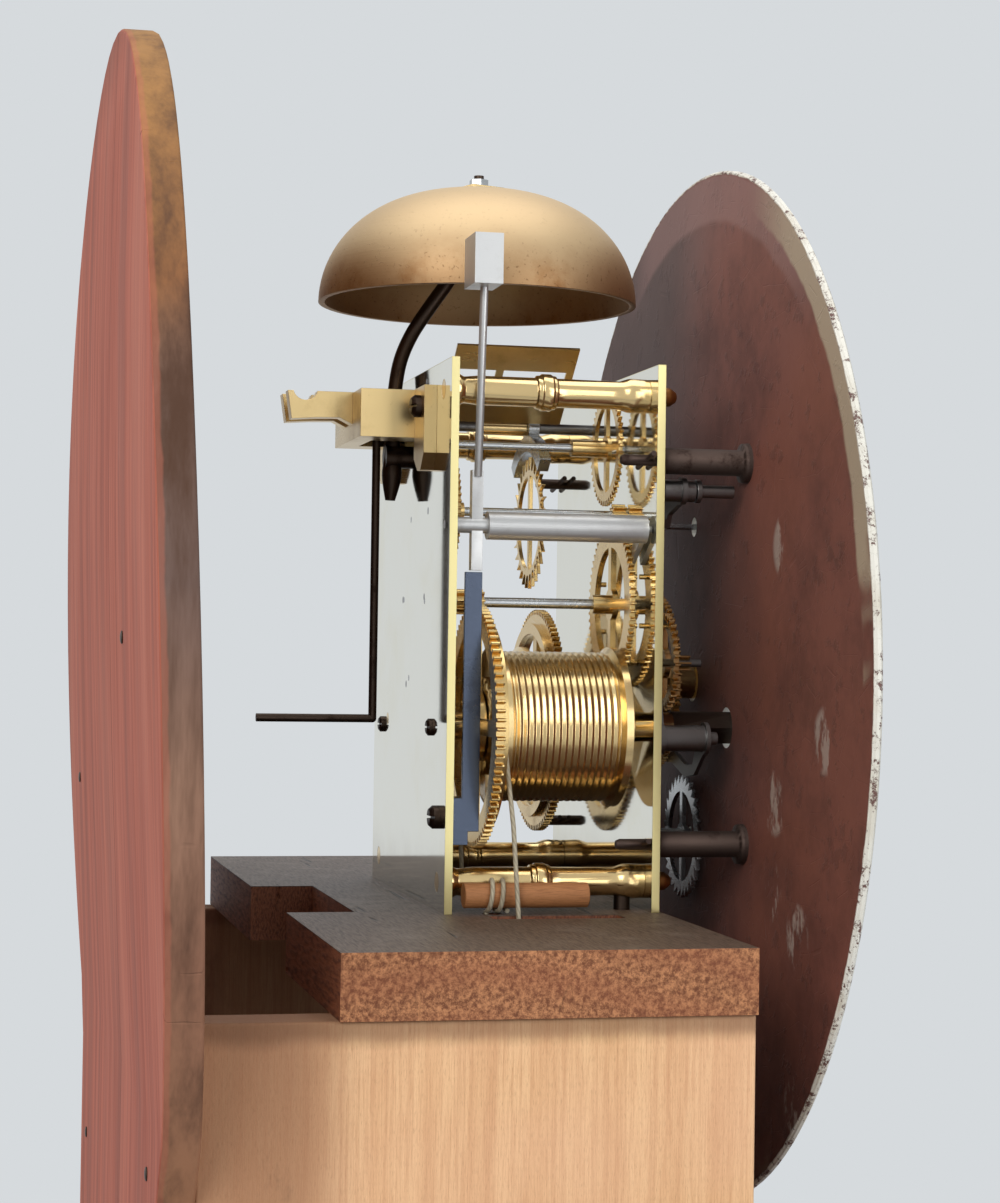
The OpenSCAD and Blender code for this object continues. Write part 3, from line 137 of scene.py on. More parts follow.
class ClockSizes(bpy.types.PropertyGroup):
    """Sizes of the details."""

    lens: FloatProperty(name="Lens", description="Focal length of the camera", default=76.16, min=30, max=200)
    line_d: length("Line diameter", "Diameter of the gut lines", 0.0014, 0.001, 0.002)
    edge: length("Metal edge", "Width of the softened edges of metal pieces", 0.00018, 0.0, 0.001)
    wood_edge: length("Wood edge", "Width of the worn edges of the boards", 0.0009, 0.0, 0.003)
    numeral_h: length("Numeral height", "Height of the hour numerals", 0.027, 0.015, 0.035)
    minutes_r: length("Minute ring", "Radius of the minute marks", 0.1475, 0.12, 0.16)


class ClockColours(bpy.types.PropertyGroup):
    """Colours of the main finishes."""

    paint: colour_of("Board paint", "Paint on the backboard's rear", 190, 108, 86)
    pine: colour_of("Pine", "Bare pine of the trunk sides", 246, 200, 148)
    brass: colour_of("Brass", "Polished golden brass", 232, 202, 146)
    plate: colour_of("Plate brass", "Pale brass of the plates", 240, 237, 224)
    dial: colour_of("Dial white", "White paint of the dial", 236, 232, 220)


# Finishes


class Wire:
    """A node's output that ordinary Python sums work on."""

    def __init__(self, bench, socket):
        self.bench, self.socket = bench, socket

    def sum_with(self, kind, first, second):
        return self.bench.node("ShaderNodeMath", {"operation": kind}, {0: first, 1: second})

    def __add__(self, other):
        return self.sum_with("ADD", self, other)

    def __radd__(self, other):
        return self.sum_with("ADD", other, self)

    def __sub__(self, other):
        return self.sum_with("SUBTRACT", self, other)

    def __rsub__(self, other):
        return self.sum_with("SUBTRACT", other, self)

    def __mul__(self, other):
        return self.sum_with("MULTIPLY", self, other)

    def __rmul__(self, other):
        return self.sum_with("MULTIPLY", other, self)

    def __truediv__(self, other):
        return self.sum_with("DIVIDE", self, other)

    def maths(self, kind, other=0.0):
        return self.sum_with(kind, self, other)


class Bench:
    """Makes the nodes of one tree."""

    def __init__(self, tree):
        self.tree = tree
        tree.nodes.clear()

    def node(self, kind, settings=None, values=None, out=0):
        """A node of that type, with its settings made first and then the values or links of its sockets."""
        made = self.tree.nodes.new(kind)
        for name, value in (settings or {}).items():
            if name == "stops":
                ramp = made.color_ramp
                while len(ramp.elements) < len(value):
                    ramp.elements.new(1.0)
                for element, (place, colour) in zip(ramp.elements, value):
                    element.position, element.color = place, colour
            else:
                setattr(made, name, value)
        for name, value in (values or {}).items():
            if isinstance(value, Wire):
                self.tree.links.new(value.socket, made.inputs[name])
            else:
                made.inputs[name].default_value = value
        return Wire(self, made.outputs[out]) if len(made.outputs) else None


class Finish(Bench):
    """One material, with the marks that several of the clock's finishes share."""

    def __init__(self, name):
        self.material = bpy.data.materials.new(name)
        self.material.use_nodes = True
        super().__init__(self.material.node_tree)
        self.place = self.node("ShaderNodeTexCoord", out=3)

    def xyz(self):
        return [self.node("ShaderNodeSeparateXYZ", values={0: self.place}, out=i) for i in range(3)]

    def stretched(self, x, y, z):
        return self.node("ShaderNodeMapping", values={"Vector": self.place, "Scale": (x, y, z)})

    def noise(self, scale, detail, stretch=None, rough=0.55):
        where = self.stretched(*stretch) if stretch else self.place
        values = {"Vector": where, "Scale": scale, "Detail": detail, "Roughness": rough}
        return self.node("ShaderNodeTexNoise", values=values)

    def between(self, value, low, high):
        """0 below low and 1 above high, and smooth between them."""
        ends = {0: value, 1: low, 2: high}
        return self.node("ShaderNodeMapRange", {"interpolation_type": "SMOOTHSTEP"}, ends)

    def mixed(self, share, first, second):
        return self.node("ShaderNodeMix", {"data_type": "RGBA"}, {0: share, 6: first, 7: second}, out=2)

    def layered(self, colour, *layers):
        """The colour under layers, each a share and a colour as seen on screen."""
        for share, over in layers:
            colour = self.mixed(share, colour, tint(*over))
        return colour

    def near(self, spots, radius):
        """1 close to any of the spots, given as x and z in millimetres from the movement's datum."""
        x, _, z = self.xyz()
        found = 0.0
        for spot in spots:
            centre = at(spot[0], 0, spot[1])
            dx, dz = x - centre.x, z - centre.z
            found = self.between(dx * dx + dz * dz, radius**2, radius**2 * 0.5) + found
        return found

    def done(self, colour, roughness, height=None, bump=0.0005, strength=1.0, **fixed):
        values = {"Base Color": colour, "Roughness": roughness, **fixed}
        if height is not None:
            values["Normal"] = self.node(
                "ShaderNodeBump", values={"Strength": strength, "Distance": bump, "Height": height}
            )
        skin = self.node("ShaderNodeBsdfPrincipled", values=values)
        self.node("ShaderNodeOutputMaterial", values={"Surface": skin})
        return self.material


def brass_finish(name, colour, polish, tarnish, dark=tint(120, 82, 34)):
    """Brass with fingered tarnish, fine brushing and small dents."""
    m = Finish(name)
    stain = m.between(m.noise(38, 6, rough=0.7), 0.52, 0.80)
    specks = m.between(m.noise(420, 3), 0.68, 0.82)
    colour = m.mixed(stain * tarnish, colour, dark)
    colour = m.mixed(specks * (tarnish * 0.7), colour, dark)
    brushed = m.noise(900, 2, stretch=(1, 0.06, 1))
    rough = polish + 0.08 * m.noise(60, 4) + 0.12 * stain + 0.06 * brushed
    return m.done(colour, rough, brushed * 0.35 + m.noise(160, 3), bump=0.00006, strength=0.25, Metallic=1.0)


def plate_finish(name, colour, edge_colour, marks):
    """Pale polished plate brass: yellow on its thin edges, with painted shade as dark spots at its small
    holes.
    """
    m = Finish(name)
    x, _, z = m.xyz()
    top = SEAT_TOP + PLATE_TALL
    rim = m.between(x * x, (PLATE_HALF - 0.0003) ** 2, (PLATE_HALF - 0.00005) ** 2)
    rim = rim + m.between(z, top - 0.0003, top - 0.00005)
    cloud = m.noise(26, 5, rough=0.6)
    face = m.mixed(m.between(cloud, 0.42, 0.75) * 0.25, colour, edge_colour)
    face = m.mixed(rim, face, edge_colour)
    # Browner at the foot of the plate, just above the seat board: a painted reflection of the seat board.
    stain = m.between(z + 0.010 * m.noise(70, 3), SEAT_TOP + 0.028, SEAT_TOP + 0.006)
    # Dark spots where the small holes are: painted shade of the holes' insides.
    painted_hole_shade = m.near(marks, 0.0013)
    rough = 0.03 + 0.07 * cloud + 0.22 * rim
    face = m.layered(face, (stain * 0.35, (120, 96, 60)), (painted_hole_shade, (40, 30, 22)))
    lines = m.noise(500, 2, stretch=(1, 1, 0.04))
    return m.done(face, rough, lines, bump=0.00002, strength=0.15, Metallic=1.0)


def steel_finish(name, colour, rust, polish, amount, metal=1.0):
    """Turned steel with brown spots."""
    m = Finish(name)
    spots = m.between(m.noise(75, 6, rough=0.75), 0.52, 0.74) * amount
    colour = m.mixed(spots, colour, rust)
    lines = m.noise(1100, 2, stretch=(0.15, 0.15, 1))
    rough = polish + 0.10 * m.noise(90, 4) + 0.3 * spots
    return m.done(colour, rough, lines + 0.8 * spots, bump=0.0001, strength=0.35, Metallic=metal)


def grain(m, stretch, rings):
    """Wood figure along one way: broad rings, fine lines and pores, each from 0 to 1."""
    where = m.stretched(*stretch)
    broad = m.node(
        "ShaderNodeTexWave", {"wave_type": "BANDS", "bands_direction": "DIAGONAL"},
        {"Vector": where, "Scale": rings, "Distortion": 4.8, "Detail": 3.0, "Detail Scale": 1.2}, out=1,
    )
    fine = m.noise(9, 5, stretch=[s * 9 for s in stretch], rough=0.6)
    pores = m.between(m.noise(30, 2, stretch=[s * 14 for s in stretch]), 0.58, 0.72)
    return broad, fine, pores


def polished_wood_finish(name, colour, dark, stretch, gloss=0.32):
    """Dark polished case wood."""
    m = Finish(name)
    broad, fine, pores = grain(m, stretch, 2.0)
    colour = m.mixed(broad * 0.45 + fine * 0.35, colour, dark)
    colour = m.mixed(pores * 0.6, colour, tint(22, 11, 6))
    rough = gloss + 0.18 * m.noise(30, 4) + 0.12 * pores
    return m.done(colour, rough, fine * 0.3 - pores * 0.8, bump=0.0002, strength=0.3)


def backboard_finish(name, paint):
    """Streaky old paint on the rear, bare stained wood on the edges and the front."""
    m = Finish(name)
    x, y, z = m.xyz()
    above = (z - BOW_FROM).maths("MAXIMUM")
    y = y - (above * BOW_TURN).maths("SINE") * BOW_RISE
    rear = m.between(y, BOARD_BACK - 0.0005, BOARD_BACK - 0.0002)
    streak = m.noise(9, 6, stretch=(14, 1, 0.7), rough=0.7)
    wide = m.noise(4, 4, stretch=(5, 1, 0.5))
    dull = m.between(m.noise(5, 5, stretch=(7, 1, 0.4), rough=0.6), 0.50, 0.62)
    rubbed = m.between(m.noise(60, 5, stretch=(1, 1, 0.25), rough=0.75), 0.66, 0.76)
    lines = m.between(m.noise(30, 3, stretch=(20, 1, 0.35)), 0.66, 0.72)
    joint = m.between((x + 0.0335 + 0.0006 * m.noise(6, 2)).maths("ABSOLUTE"), 0.0008, 0.0003)
    top = m.between(z, SEAT_TOP + 0.235, SEAT_TOP + 0.27)
    seam = m.between((x - 0.061 + 0.001 * m.noise(8, 2)).maths("ABSOLUTE"), 0.006, 0.001)
    coat = m.layered(
        paint,
        (m.between(streak, 0.35, 0.68), (160, 84, 66)),
        (m.between(wide, 0.48, 0.70) * 0.5, (206, 130, 108)),
        (dull * 0.40, (138, 84, 72)),
        (rubbed * 0.4, (212, 152, 126)),
        (lines * 0.75, (90, 42, 35)),
        (joint * 0.8, (70, 38, 32)),
        (top * 0.5, (120, 70, 54)),
        (seam * 0.35, (110, 62, 52)),
    )

    along = m.noise(24, 6, stretch=(1, 1.4, 0.16), rough=0.7)
    height = (z - (SEAT_TOP - 0.10)) / 0.37 + 0.05 * m.noise(30, 4)
    ages = (
        (0.05, (170, 122, 88)), (0.30, (150, 106, 84)), (0.42, (165, 126, 104)), (0.54, (118, 96, 88)),
        (0.66, (128, 104, 94)), (0.74, (150, 100, 62)), (0.90, (168, 120, 68)), (1.0, (166, 122, 72)),
    )
    age = m.node("ShaderNodeValToRGB", {"stops": [(up, tint(*seen)) for up, seen in ages]}, {0: height})
    knots = m.between(m.noise(42, 3, stretch=(1, 1, 0.5)), 0.64, 0.74)
    red = m.between(y + 0.0016 * m.noise(90, 3), BOARD_BACK - 0.0014, BOARD_BACK - 0.0006)
    side = m.layered(age, (m.between(along, 0.40, 0.72), (84, 58, 44)), (knots * 0.7, (52, 34, 26)))
    side = m.mixed(red * 0.35, side, paint)
    colour = m.mixed(rear, side, coat)
    height = streak * 0.5 - lines * 0.8 - joint * 2.0 + along * 0.6
    rough = 0.62 + 0.22 * along - 0.12 * rubbed
    return m.done(colour, rough, height, bump=0.0006, strength=0.5, **{"Specular IOR Level": 0.22})


def pine_finish(name, pine):
    """Bare pine of the trunk sides: upright grain, old stain towards the backboard, and a painted shadow just
    under the seat board.
    """
    m = Finish(name)
    x, y, z = m.xyz()
    broad, fine, pores = grain(m, (6, 34, 1.1), 1.2)
    hair = m.noise(40, 4, stretch=(6, 22, 0.5), rough=0.65)
    blush = m.between(m.noise(7, 3), 0.45, 0.7)
    edge = y + 0.022 * m.noise(16, 5, stretch=(1, 1, 0.5)) - 0.011
    stain = m.between(edge, 0.040, 0.066)
    dark = m.between(m.noise(26, 6, stretch=(1, 1, 0.45), rough=0.75), 0.50, 0.66)
    # A dark band at the top of the sides, just under the seat board: painted shadow of the seat board's
    # overhang.
    painted_seat_shadow = m.between(z + 0.004 * m.noise(60, 3), SEAT_TOP - 0.0235, SEAT_TOP - 0.0185)
    inner = m.between(x * x, (TRUNK_INNER + 0.0002) ** 2, (TRUNK_INNER - 0.0008) ** 2)
    rough = 0.66 + 0.15 * fine
    colour = m.layered(
        pine,
        (m.between(broad, 0.30, 0.90) * 0.30, (214, 156, 104)),
        (m.between(fine, 0.45, 0.70) * 0.50, (206, 146, 98)),
        (m.between(hair, 0.42, 0.66) * 0.40, (196, 134, 88)),
        (pores * 0.6, (150, 96, 60)),
        (blush * 0.35, (244, 190, 156)),
        (stain * 0.80, (160, 110, 76)),
        (dark * stain * 0.75, (92, 60, 40)),
        (painted_seat_shadow * 0.6, (110, 72, 46)),
        (inner * 0.6, (120, 66, 46)),
    )
    return m.done(colour, rough, fine * 0.5 - pores, bump=0.0004, strength=0.4)


def seat_finish(name):
    """Softwood seat: grey-brown cracked top with pale grey dust and painted sheen, and red-brown speckled end
    grain.
    """
    m = Finish(name)
    x, _, z = m.xyz()
    end = m.between(x * x, (SEAT_HALF - 0.0002) ** 2, (SEAT_HALF - 0.00005) ** 2)
    _, fine, _ = grain(m, (1.6, 22, 10), 1.6)
    # Pale grey patches on the top: dust, and a painted sheen of the varnished top.
    dust_and_painted_sheen = m.between(m.noise(60, 6, rough=0.7), 0.50, 0.70)
    crack = m.between(m.noise(16, 3, stretch=(0.7, 9, 3)), 0.64, 0.69)
    speckle = m.noise(620, 5, rough=0.85)
    top = m.layered(
        tint(104, 84, 68),
        (m.between(fine, 0.38, 0.70), (66, 48, 38)),
        (dust_and_painted_sheen * 0.35, (142, 128, 114)),
        (crack * 0.85, (28, 18, 13)),
    )
    pith = m.node("ShaderNodeMapping", values={"Vector": m.place, "Location": (0, -0.02, -1.55)})
    cut = m.mixed(m.between(speckle, 0.36, 0.62), tint(208, 144, 98), tint(118, 68, 42))
    rings = m.node(
        "ShaderNodeTexWave", {"wave_type": "RINGS", "rings_direction": "X"},
        {"Vector": pith, "Scale": 22.0, "Distortion": 4.0, "Detail": 3.0}, out=1,
    )
    worn = m.between(m.noise(40, 5, rough=0.7), 0.50, 0.72)
    upper = m.between(z, SEAT_TOP - 0.0004, SEAT_TOP - 0.0001)
    cut = m.layered(cut, (rings * 0.30, (150, 84, 56)), (worn * 0.20, (112, 66, 42)))
    sides = m.mixed(m.between(fine, 0.4, 0.7), tint(150, 92, 62), tint(92, 52, 36))
    colour = m.mixed(end, m.mixed(upper, sides, top), cut)
    rough = 0.52 + 0.25 * fine + 0.2 * end - 0.16 * upper
    height = fine * 0.6 - crack * 3.0 + end * (speckle * 1.6 + 0.5 * rings)
    return m.done(colour, rough, height, bump=0.0008, strength=0.55)


def plain_wood_finish(name, colour, dark, stretch):
    """Bare dowels and boards that aren't painted."""
    m = Finish(name)
    _, fine, pores = grain(m, stretch, 1.5)
    colour = m.mixed(m.between(fine, 0.42, 0.72) * 0.7, colour, dark)
    colour = m.mixed(pores * 0.5, colour, dark)
    return m.done(colour, 0.5 + 0.2 * fine, fine - pores, bump=0.0003, strength=0.35)


def dial_finish(name, white):
    """White paint in front; behind, red-brown primer with pale daubs, a painted shadow of the movement near
    the middle, and a chipped edge.
    """
    m = Finish(name)
    x, y, z = m.xyz()
    up, across = z - (SEAT_TOP + CENTRE[1]), x - CENTRE[0]
    out = (up * up + across * across).maths("SQRT")
    behind = m.between(y, DIAL_BACK - 0.0003, DIAL_BACK - 0.00005)
    mottle = m.noise(26, 7, rough=0.7)
    warm = m.between(m.noise(9, 4), 0.50, 0.68)
    grey = m.between(across + 0.35 * up + 0.06 * m.noise(12, 4) - 0.03, 0.0, 0.10)
    # Darker towards the middle, behind which the movement stands: painted shadow of the movement.
    painted_movement_shadow = m.between(out + 0.03 * m.noise(14, 4), 0.115, 0.060)
    soot = m.between(m.noise(130, 4, rough=0.7), 0.56, 0.66)
    band = m.between(out + 0.006 * m.noise(30, 4), 0.151, 0.154) * m.between(up, 0.098, 0.128)
    band = band * m.between(across, 0.085, 0.050)
    pale = m.between(out + 0.010 * m.noise(24, 5), DIAL_R - 0.0055, DIAL_R - 0.0035)
    pale = pale * m.between(across, -0.05, -0.10) * m.between(m.noise(16, 3) + up * 1.2, 0.47, 0.55)
    daubs = m.near([(-85.1, 34), (-105.9, -3), (-127, 54), (-82, 8), (-106, -52), (-90, 110)], 0.0105)
    rag = m.between(m.noise(70, 5, stretch=(1, 1, 0.45), rough=0.7), 0.50, 0.58)
    chips = m.between(m.noise(210, 5, rough=0.85), 0.52, 0.60)
    rim = m.between(out + 0.0010 * m.noise(120, 4), DIAL_R - 0.0014, DIAL_R - 0.0008)
    coat = m.layered(
        tint(128, 76, 63),
        (m.between(mottle, 0.36, 0.68), (99, 57, 47)),
        (warm * 0.5, (140, 82, 62)),
        (grey * 0.85, (78, 62, 58)),
        (painted_movement_shadow * 0.35, (52, 42, 42)),
        (soot * 0.30, (62, 38, 33)),
        (band * 0.55, (150, 114, 108)),
        (pale * 0.85, (186, 168, 142)),
        (daubs * rag * 0.7, (178, 160, 148)),
    )
    cells = {"Vector": m.place, "Scale": 95.0}
    crazed = m.between(m.node("ShaderNodeTexVoronoi", {"feature": "DISTANCE_TO_EDGE"}, cells), 0.012, 0.004)
    ragged = m.layered(
        white,
        (m.between(m.noise(60, 4), 0.40, 0.65) * 0.5, (196, 184, 160)),
        (chips, (104, 70, 62)),
    )
    lip = m.between(out + 0.0016 * m.noise(150, 5), DIAL_R - 0.0005, DIAL_R)
    front = m.layered(
        white,
        (m.between(m.noise(14, 5), 0.45, 0.75) * 0.25, (214, 204, 180)),
        (crazed * 0.30, (150, 140, 120)),
    )
    colour = m.mixed(behind, m.mixed(rim, front, ragged), m.mixed(lip, coat, ragged))
    rough = 0.30 + behind * (0.28 + 0.18 * mottle) + 0.2 * rim
    height = behind * (mottle + 0.6 * soot + 1.2 * daubs * rag) - 0.5 * crazed - 1.2 * chips * rim
    return m.done(colour, rough, height, bump=0.0004, strength=0.4)


def bell_finish(name):
    """Satin bell metal, brown and mottled towards the rim and dark inside."""
    m = Finish(name)
    rise = m.xyz()[2] - BELL_MOUTH
    low = m.between(rise + 0.012 * m.noise(34, 5), 0.026, 0.003)
    mottle = m.between(m.noise(46, 7, rough=0.7), 0.44, 0.66)
    specks = m.between(m.noise(900, 4), 0.60, 0.70)
    rough = 0.50 + 0.08 * m.noise(22, 4)
    turned = m.noise(60, 2, stretch=(1, 1, 14))
    colour = m.layered(
        tint(202, 176, 138),
        (low * 0.6 + low * mottle * 0.35, (138, 92, 48)),
        (specks * (0.12 + 0.45 * low), (96, 62, 34)),
    )
    return m.done(colour, rough, turned + specks, bump=0.00012, strength=0.3, Metallic=1.0)


def gut_finish(name):
    """Twisted gut, pale yellow, with painted shade in the twist's grooves; it follows the line's own UV map.
    """
    m = Finish(name)
    uv = m.node("ShaderNodeUVMap", {"uv_map": "line"})
    around, along = (m.node("ShaderNodeSeparateXYZ", values={0: uv}, out=i) for i in range(2))
    strands, pitch = 3, 0.0028
    twist = ((around * strands + along / pitch) * (2 * math.pi)).maths("SINE")
    dirt = m.between(m.noise(160, 4), 0.45, 0.7)
    # The grooves of the twist are darker: painted shade between the strands.
    colour = m.layered(
        tint(214, 204, 176),
        (dirt * 0.4, (150, 134, 104)),
        (m.between(twist, 0.2, -0.9) * 0.3, (120, 104, 80)),
    )
    return m.done(colour, 0.48 + 0.1 * dirt, twist, bump=0.00006, strength=0.6)


def iron_finish(name, colour):
    """Cast iron with a sandy skin and a little rust."""
    m = Finish(name)
    rust = m.between(m.noise(30, 6, rough=0.75), 0.54, 0.72)
    sand = m.noise(380, 4, rough=0.7)
    colour = m.mixed(rust * 0.6, colour, tint(96, 58, 38))
    height = sand + 0.5 * m.noise(50, 4)
    return m.done(colour, 0.58 + 0.2 * rust, height, bump=0.0006, strength=0.6, Metallic=0.6)


def plain_finish(name, colour, rough):
    """Paint of one colour, such as the dial's numerals."""
    m = Finish(name)
    worn = m.between(m.noise(240, 3), 0.60, 0.75)
    return m.done(m.mixed(worn * 0.25, colour, tint(120, 112, 100)), rough + 0.1 * worn)


PLATE_HOLES = [(-28.1, 120.9), (-58, 115.2), (12.1, 94.1), (-23.7, 94.4), (4.5, 67)]

# Each finish's maker and what it takes. A word is the name of one of the panel's colours.
FINISHES = {
    "painted board": (backboard_finish, "paint"),
    "bare pine": (pine_finish, "pine"),
    "floor pine": (plain_wood_finish, tint(190, 140, 96), tint(120, 80, 50), (2, 20, 20)),
    "case wood": (polished_wood_finish, tint(128, 66, 34), tint(70, 32, 16), (16, 16, 0.8)),
    "moulding wood": (polished_wood_finish, tint(112, 56, 30), tint(58, 26, 14), (1, 12, 12), 0.28),
    "seat wood": (seat_finish,),
    "peg wood": (plain_wood_finish, tint(204, 140, 88), tint(150, 92, 52), (60, 3, 60)),
    "plate brass": (plate_finish, "plate", tint(222, 208, 150), PLATE_HOLES),
    "golden brass": (brass_finish, "brass", 0.13, 0.25),
    "wheel brass": (brass_finish, tint(222, 190, 130), 0.17, 0.35),
    "cock brass": (brass_finish, tint(220, 192, 138), 0.22, 0.40),
    "case brass": (brass_finish, tint(190, 146, 78), 0.28, 0.7),
    "finial brass": (brass_finish, tint(176, 128, 74), 0.3, 0.8, tint(92, 54, 30)),
    "bright steel": (steel_finish, tint(182, 184, 185), tint(104, 84, 66), 0.22, 0.30),
    "rough iron": (steel_finish, tint(88, 74, 68), tint(52, 34, 27), 0.55, 0.8),
    "spring steel": (steel_finish, tint(84, 92, 108), tint(48, 46, 54), 0.20, 0.35),
    "grey steel": (steel_finish, tint(126, 124, 122), tint(70, 52, 40), 0.32, 0.5),
    "filed steel": (steel_finish, tint(196, 196, 195), tint(120, 104, 88), 0.30, 0.22, 0.6),
    "browned steel": (steel_finish, tint(72, 60, 52), tint(46, 30, 22), 0.38, 0.8),
    "blued steel": (steel_finish, tint(86, 98, 126), tint(52, 46, 52), 0.22, 0.4),
    "bell metal": (bell_finish,),
    "dial paint": (dial_finish, "dial"),
    "numeral black": (plain_finish, tint(28, 26, 26), 0.4),
    "gut": (gut_finish,),
    "cast iron": (iron_finish, tint(70, 70, 74)),
}
_made = {}


def finish(name):
    """The finish of that name, made when it is first asked for."""
    if name not in _made:
        colours = bpy.context.scene.clock_colours
        maker, *looks = FINISHES[name]
        looks = [tuple(getattr(colours, look)) if isinstance(look, str) else look for look in looks]
        _made[name] = maker("Clock " + name, *looks)
    return _made[name]


# Making pieces

MERGE_WITHIN = 2e-6
FLAT_WITHIN = math.radians(0.8)
SOFTEN_OVER = math.radians(32)
MARK_HEIGHT = 0.00012


def linked(name, data):
    """An object of that data, in the scene."""
    made = bpy.data.objects.new(name, data)
    bpy.context.scene.collection.objects.link(made)
    return made


def piece(name, mesh, body, finish_name=None, stands_for=()):
    """An object at the origin that rides on a body."""
    made = linked(name, mesh)
    if finish_name:
        mesh.materials.append(finish(finish_name))
    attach(made, body)
    if stands_for:
        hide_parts(*stands_for)
    return made


def mesh_of(name, form, smooth_deg=35):
    """A mesh from a bmesh, smooth except at edges sharper than the angle."""
    mesh = bpy.data.meshes.new(name)
    form.to_mesh(mesh)
    form.free()
    mesh.shade_smooth()
    mesh.set_sharp_from_angle(angle=math.radians(smooth_deg))
    return mesh


def add_form(form, other):
    """Moves all of the other bmesh into the first."""
    mesh = bpy.data.meshes.new("part")
    other.to_mesh(mesh)
    other.free()
    form.from_mesh(mesh)
    bpy.data.meshes.remove(mesh)


def evaluated_mesh(carrier):
    """The mesh that the carrier's modifiers or text make. The carrier itself goes."""
    made = bpy.data.meshes.new_from_object(carrier.evaluated_get(bpy.context.evaluated_depsgraph_get()))
    bpy.data.objects.remove(carrier)
    return made


def soft_edged(name, finish_name, edge, chooser=None, others=()):
    """A merged copy of a CAD node with softened edges, standing for it.

    The chooser tells from a face's corners which of the finishes it has.
    """
    source = frame["nodes"][name]
    form = bmesh.new()
    form.from_mesh(source.data)
    bmesh.ops.remove_doubles(form, verts=form.verts, dist=MERGE_WITHIN)
    bmesh.ops.dissolve_limit(form, angle_limit=FLAT_WITHIN, verts=form.verts, edges=form.edges)
    if chooser:
        for face in form.faces:
            face.material_index = int(chooser([v.co for v in face.verts]))
    made = piece(name + "_finished", mesh_of(name, form), source["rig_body"], finish_name, stands_for=[name])
    for other in others:
        made.data.materials.append(finish(other))
    if edge > 0:
        bevel = made.modifiers.new("Soft edges", "BEVEL")
        bevel.width, bevel.segments, bevel.limit_method = edge, 2, "ANGLE"
        bevel.angle_limit = SOFTEN_OVER
        bevel.harden_normals = True
    return made


def dress(finish_name, edge, *names):
    """Softens and finishes CAD nodes that are of one material."""
    for name in names:
        soft_edged(name, finish_name, edge)


def turned(profile, place, axis="y", sides=96):
    """A lathe-turned form: its outline as [radius, length along the axis] in metres, closed on the axis."""
    form = bmesh.new()
    rings = []
    for radius, along in profile:
        turns = [2 * math.pi * k / sides for k in range(sides if radius else 1)]
        rings.append([form.verts.new((radius * math.cos(a), radius * math.sin(a), along)) for a in turns])
    for low, high in zip(rings, rings[1:]):
        for k in range(sides):
            around = (k + 1) % sides
            quad = [low[k % len(low)], low[around % len(low)], high[around % len(high)], high[k % len(high)]]
            form.faces.new(list(dict.fromkeys(quad)))
    if axis == "y":
        form.transform(Matrix.Rotation(math.pi / 2, 4, "X"))
    form.transform(Matrix.Translation(place))
    bmesh.ops.recalc_face_normals(form, faces=form.faces)
    return form


def smooth_curve(points, steps=6):
    """More points on a smooth line through the points. They may hold more than a place, such as a radius."""
    out = []
    for i in range(len(points) - 1):
        p0, p1, p2, p3 = (Vector(points[max(0, min(len(points) - 1, i + d))]) for d in (-1, 0, 1, 2))
        for k in range(steps):
            t = k / steps
            bend = (2 * p0 - 5 * p1 + 4 * p2 - p3) * t * t + (3 * p1 - p0 - 3 * p2 + p3) * t**3
            out.append(tuple(0.5 * (2 * p1 + (p2 - p0) * t + bend)))
    out.append(tuple(points[-1]))
    return out


def tube_form(points, radii, sides=12):
    """A round tube through the points, with a UV map whose second value is the length along it."""
    form = bmesh.new()
    uv = form.loops.layers.uv.new("line")
    rings, run, so_far = [], [], 0.0
    last = len(points) - 1
    ways = [(points[min(i + 1, last)] - points[max(i - 1, 0)]).normalized() for i in range(len(points))]
    turns = [2 * math.pi * k / sides for k in range(sides)]
    side = ways[0].orthogonal().normalized()
    for i, (p, way, r) in enumerate(zip(points, ways, radii)):
        side = (side - way * side.dot(way)).normalized()
        up = way.cross(side)
        so_far += (p - points[i - 1]).length if i else 0.0
        run.append(so_far)
        rings.append([form.verts.new(p + r * (math.cos(a) * side + math.sin(a) * up)) for a in turns])
    for i in range(last):
        for k in range(sides):
            n = (k + 1) % sides
            face = form.faces.new([rings[i][k], rings[i][n], rings[i + 1][n], rings[i + 1][k]])
            for loop, (across, along) in zip(face.loops, ((k, i), (k + 1, i), (k + 1, i + 1), (k, i + 1))):
                loop[uv].uv = (across / sides, run[along])
    form.faces.new(reversed(rings[0]))
    form.faces.new(rings[-1])
    return form


class Grown(Bench):
    """A Geometry Nodes tree with named inputs, whose result becomes a plain mesh."""

    def __init__(self, name, **inputs):
        self.group = bpy.data.node_groups.new(name, "GeometryNodeTree")
        kinds = {int: "NodeSocketInt", float: "NodeSocketFloat"}
        for label, value in inputs.items():
            kind = kinds[type(value)]
            made = self.group.interface.new_socket(label.capitalize(), in_out="INPUT", socket_type=kind)
            made.default_value = value
        self.group.interface.new_socket("Geometry", in_out="OUTPUT", socket_type="NodeSocketGeometry")
        super().__init__(self.group)
        self.inputs = list(inputs)
        self.entry = self.tree.nodes.new("NodeGroupInput")

    def given(self, label):
        return Wire(self, self.entry.outputs[self.inputs.index(label)])

    def mesh(self, name, shape, finish_name, **values):
        """Realizes the shape, gives it the finish and turns it into a mesh."""
        real = self.node("GeometryNodeRealizeInstances", values={0: shape})
        paint = {"Geometry": real, "Material": finish(finish_name)}
        painted = self.node("GeometryNodeSetMaterial", values=paint)
        self.node("NodeGroupOutput", values={0: painted})
        carrier = linked(name, bpy.data.meshes.new(name))
        modifier = carrier.modifiers.new("Grown", "NODES")
        modifier.node_group = self.group
        for item in self.group.interface.items_tree:
            if item.in_out == "INPUT" and item.name.lower() in values:
                modifier[item.identifier] = values[item.name.lower()]
        made = evaluated_mesh(carrier)
        made.name = name
        return made


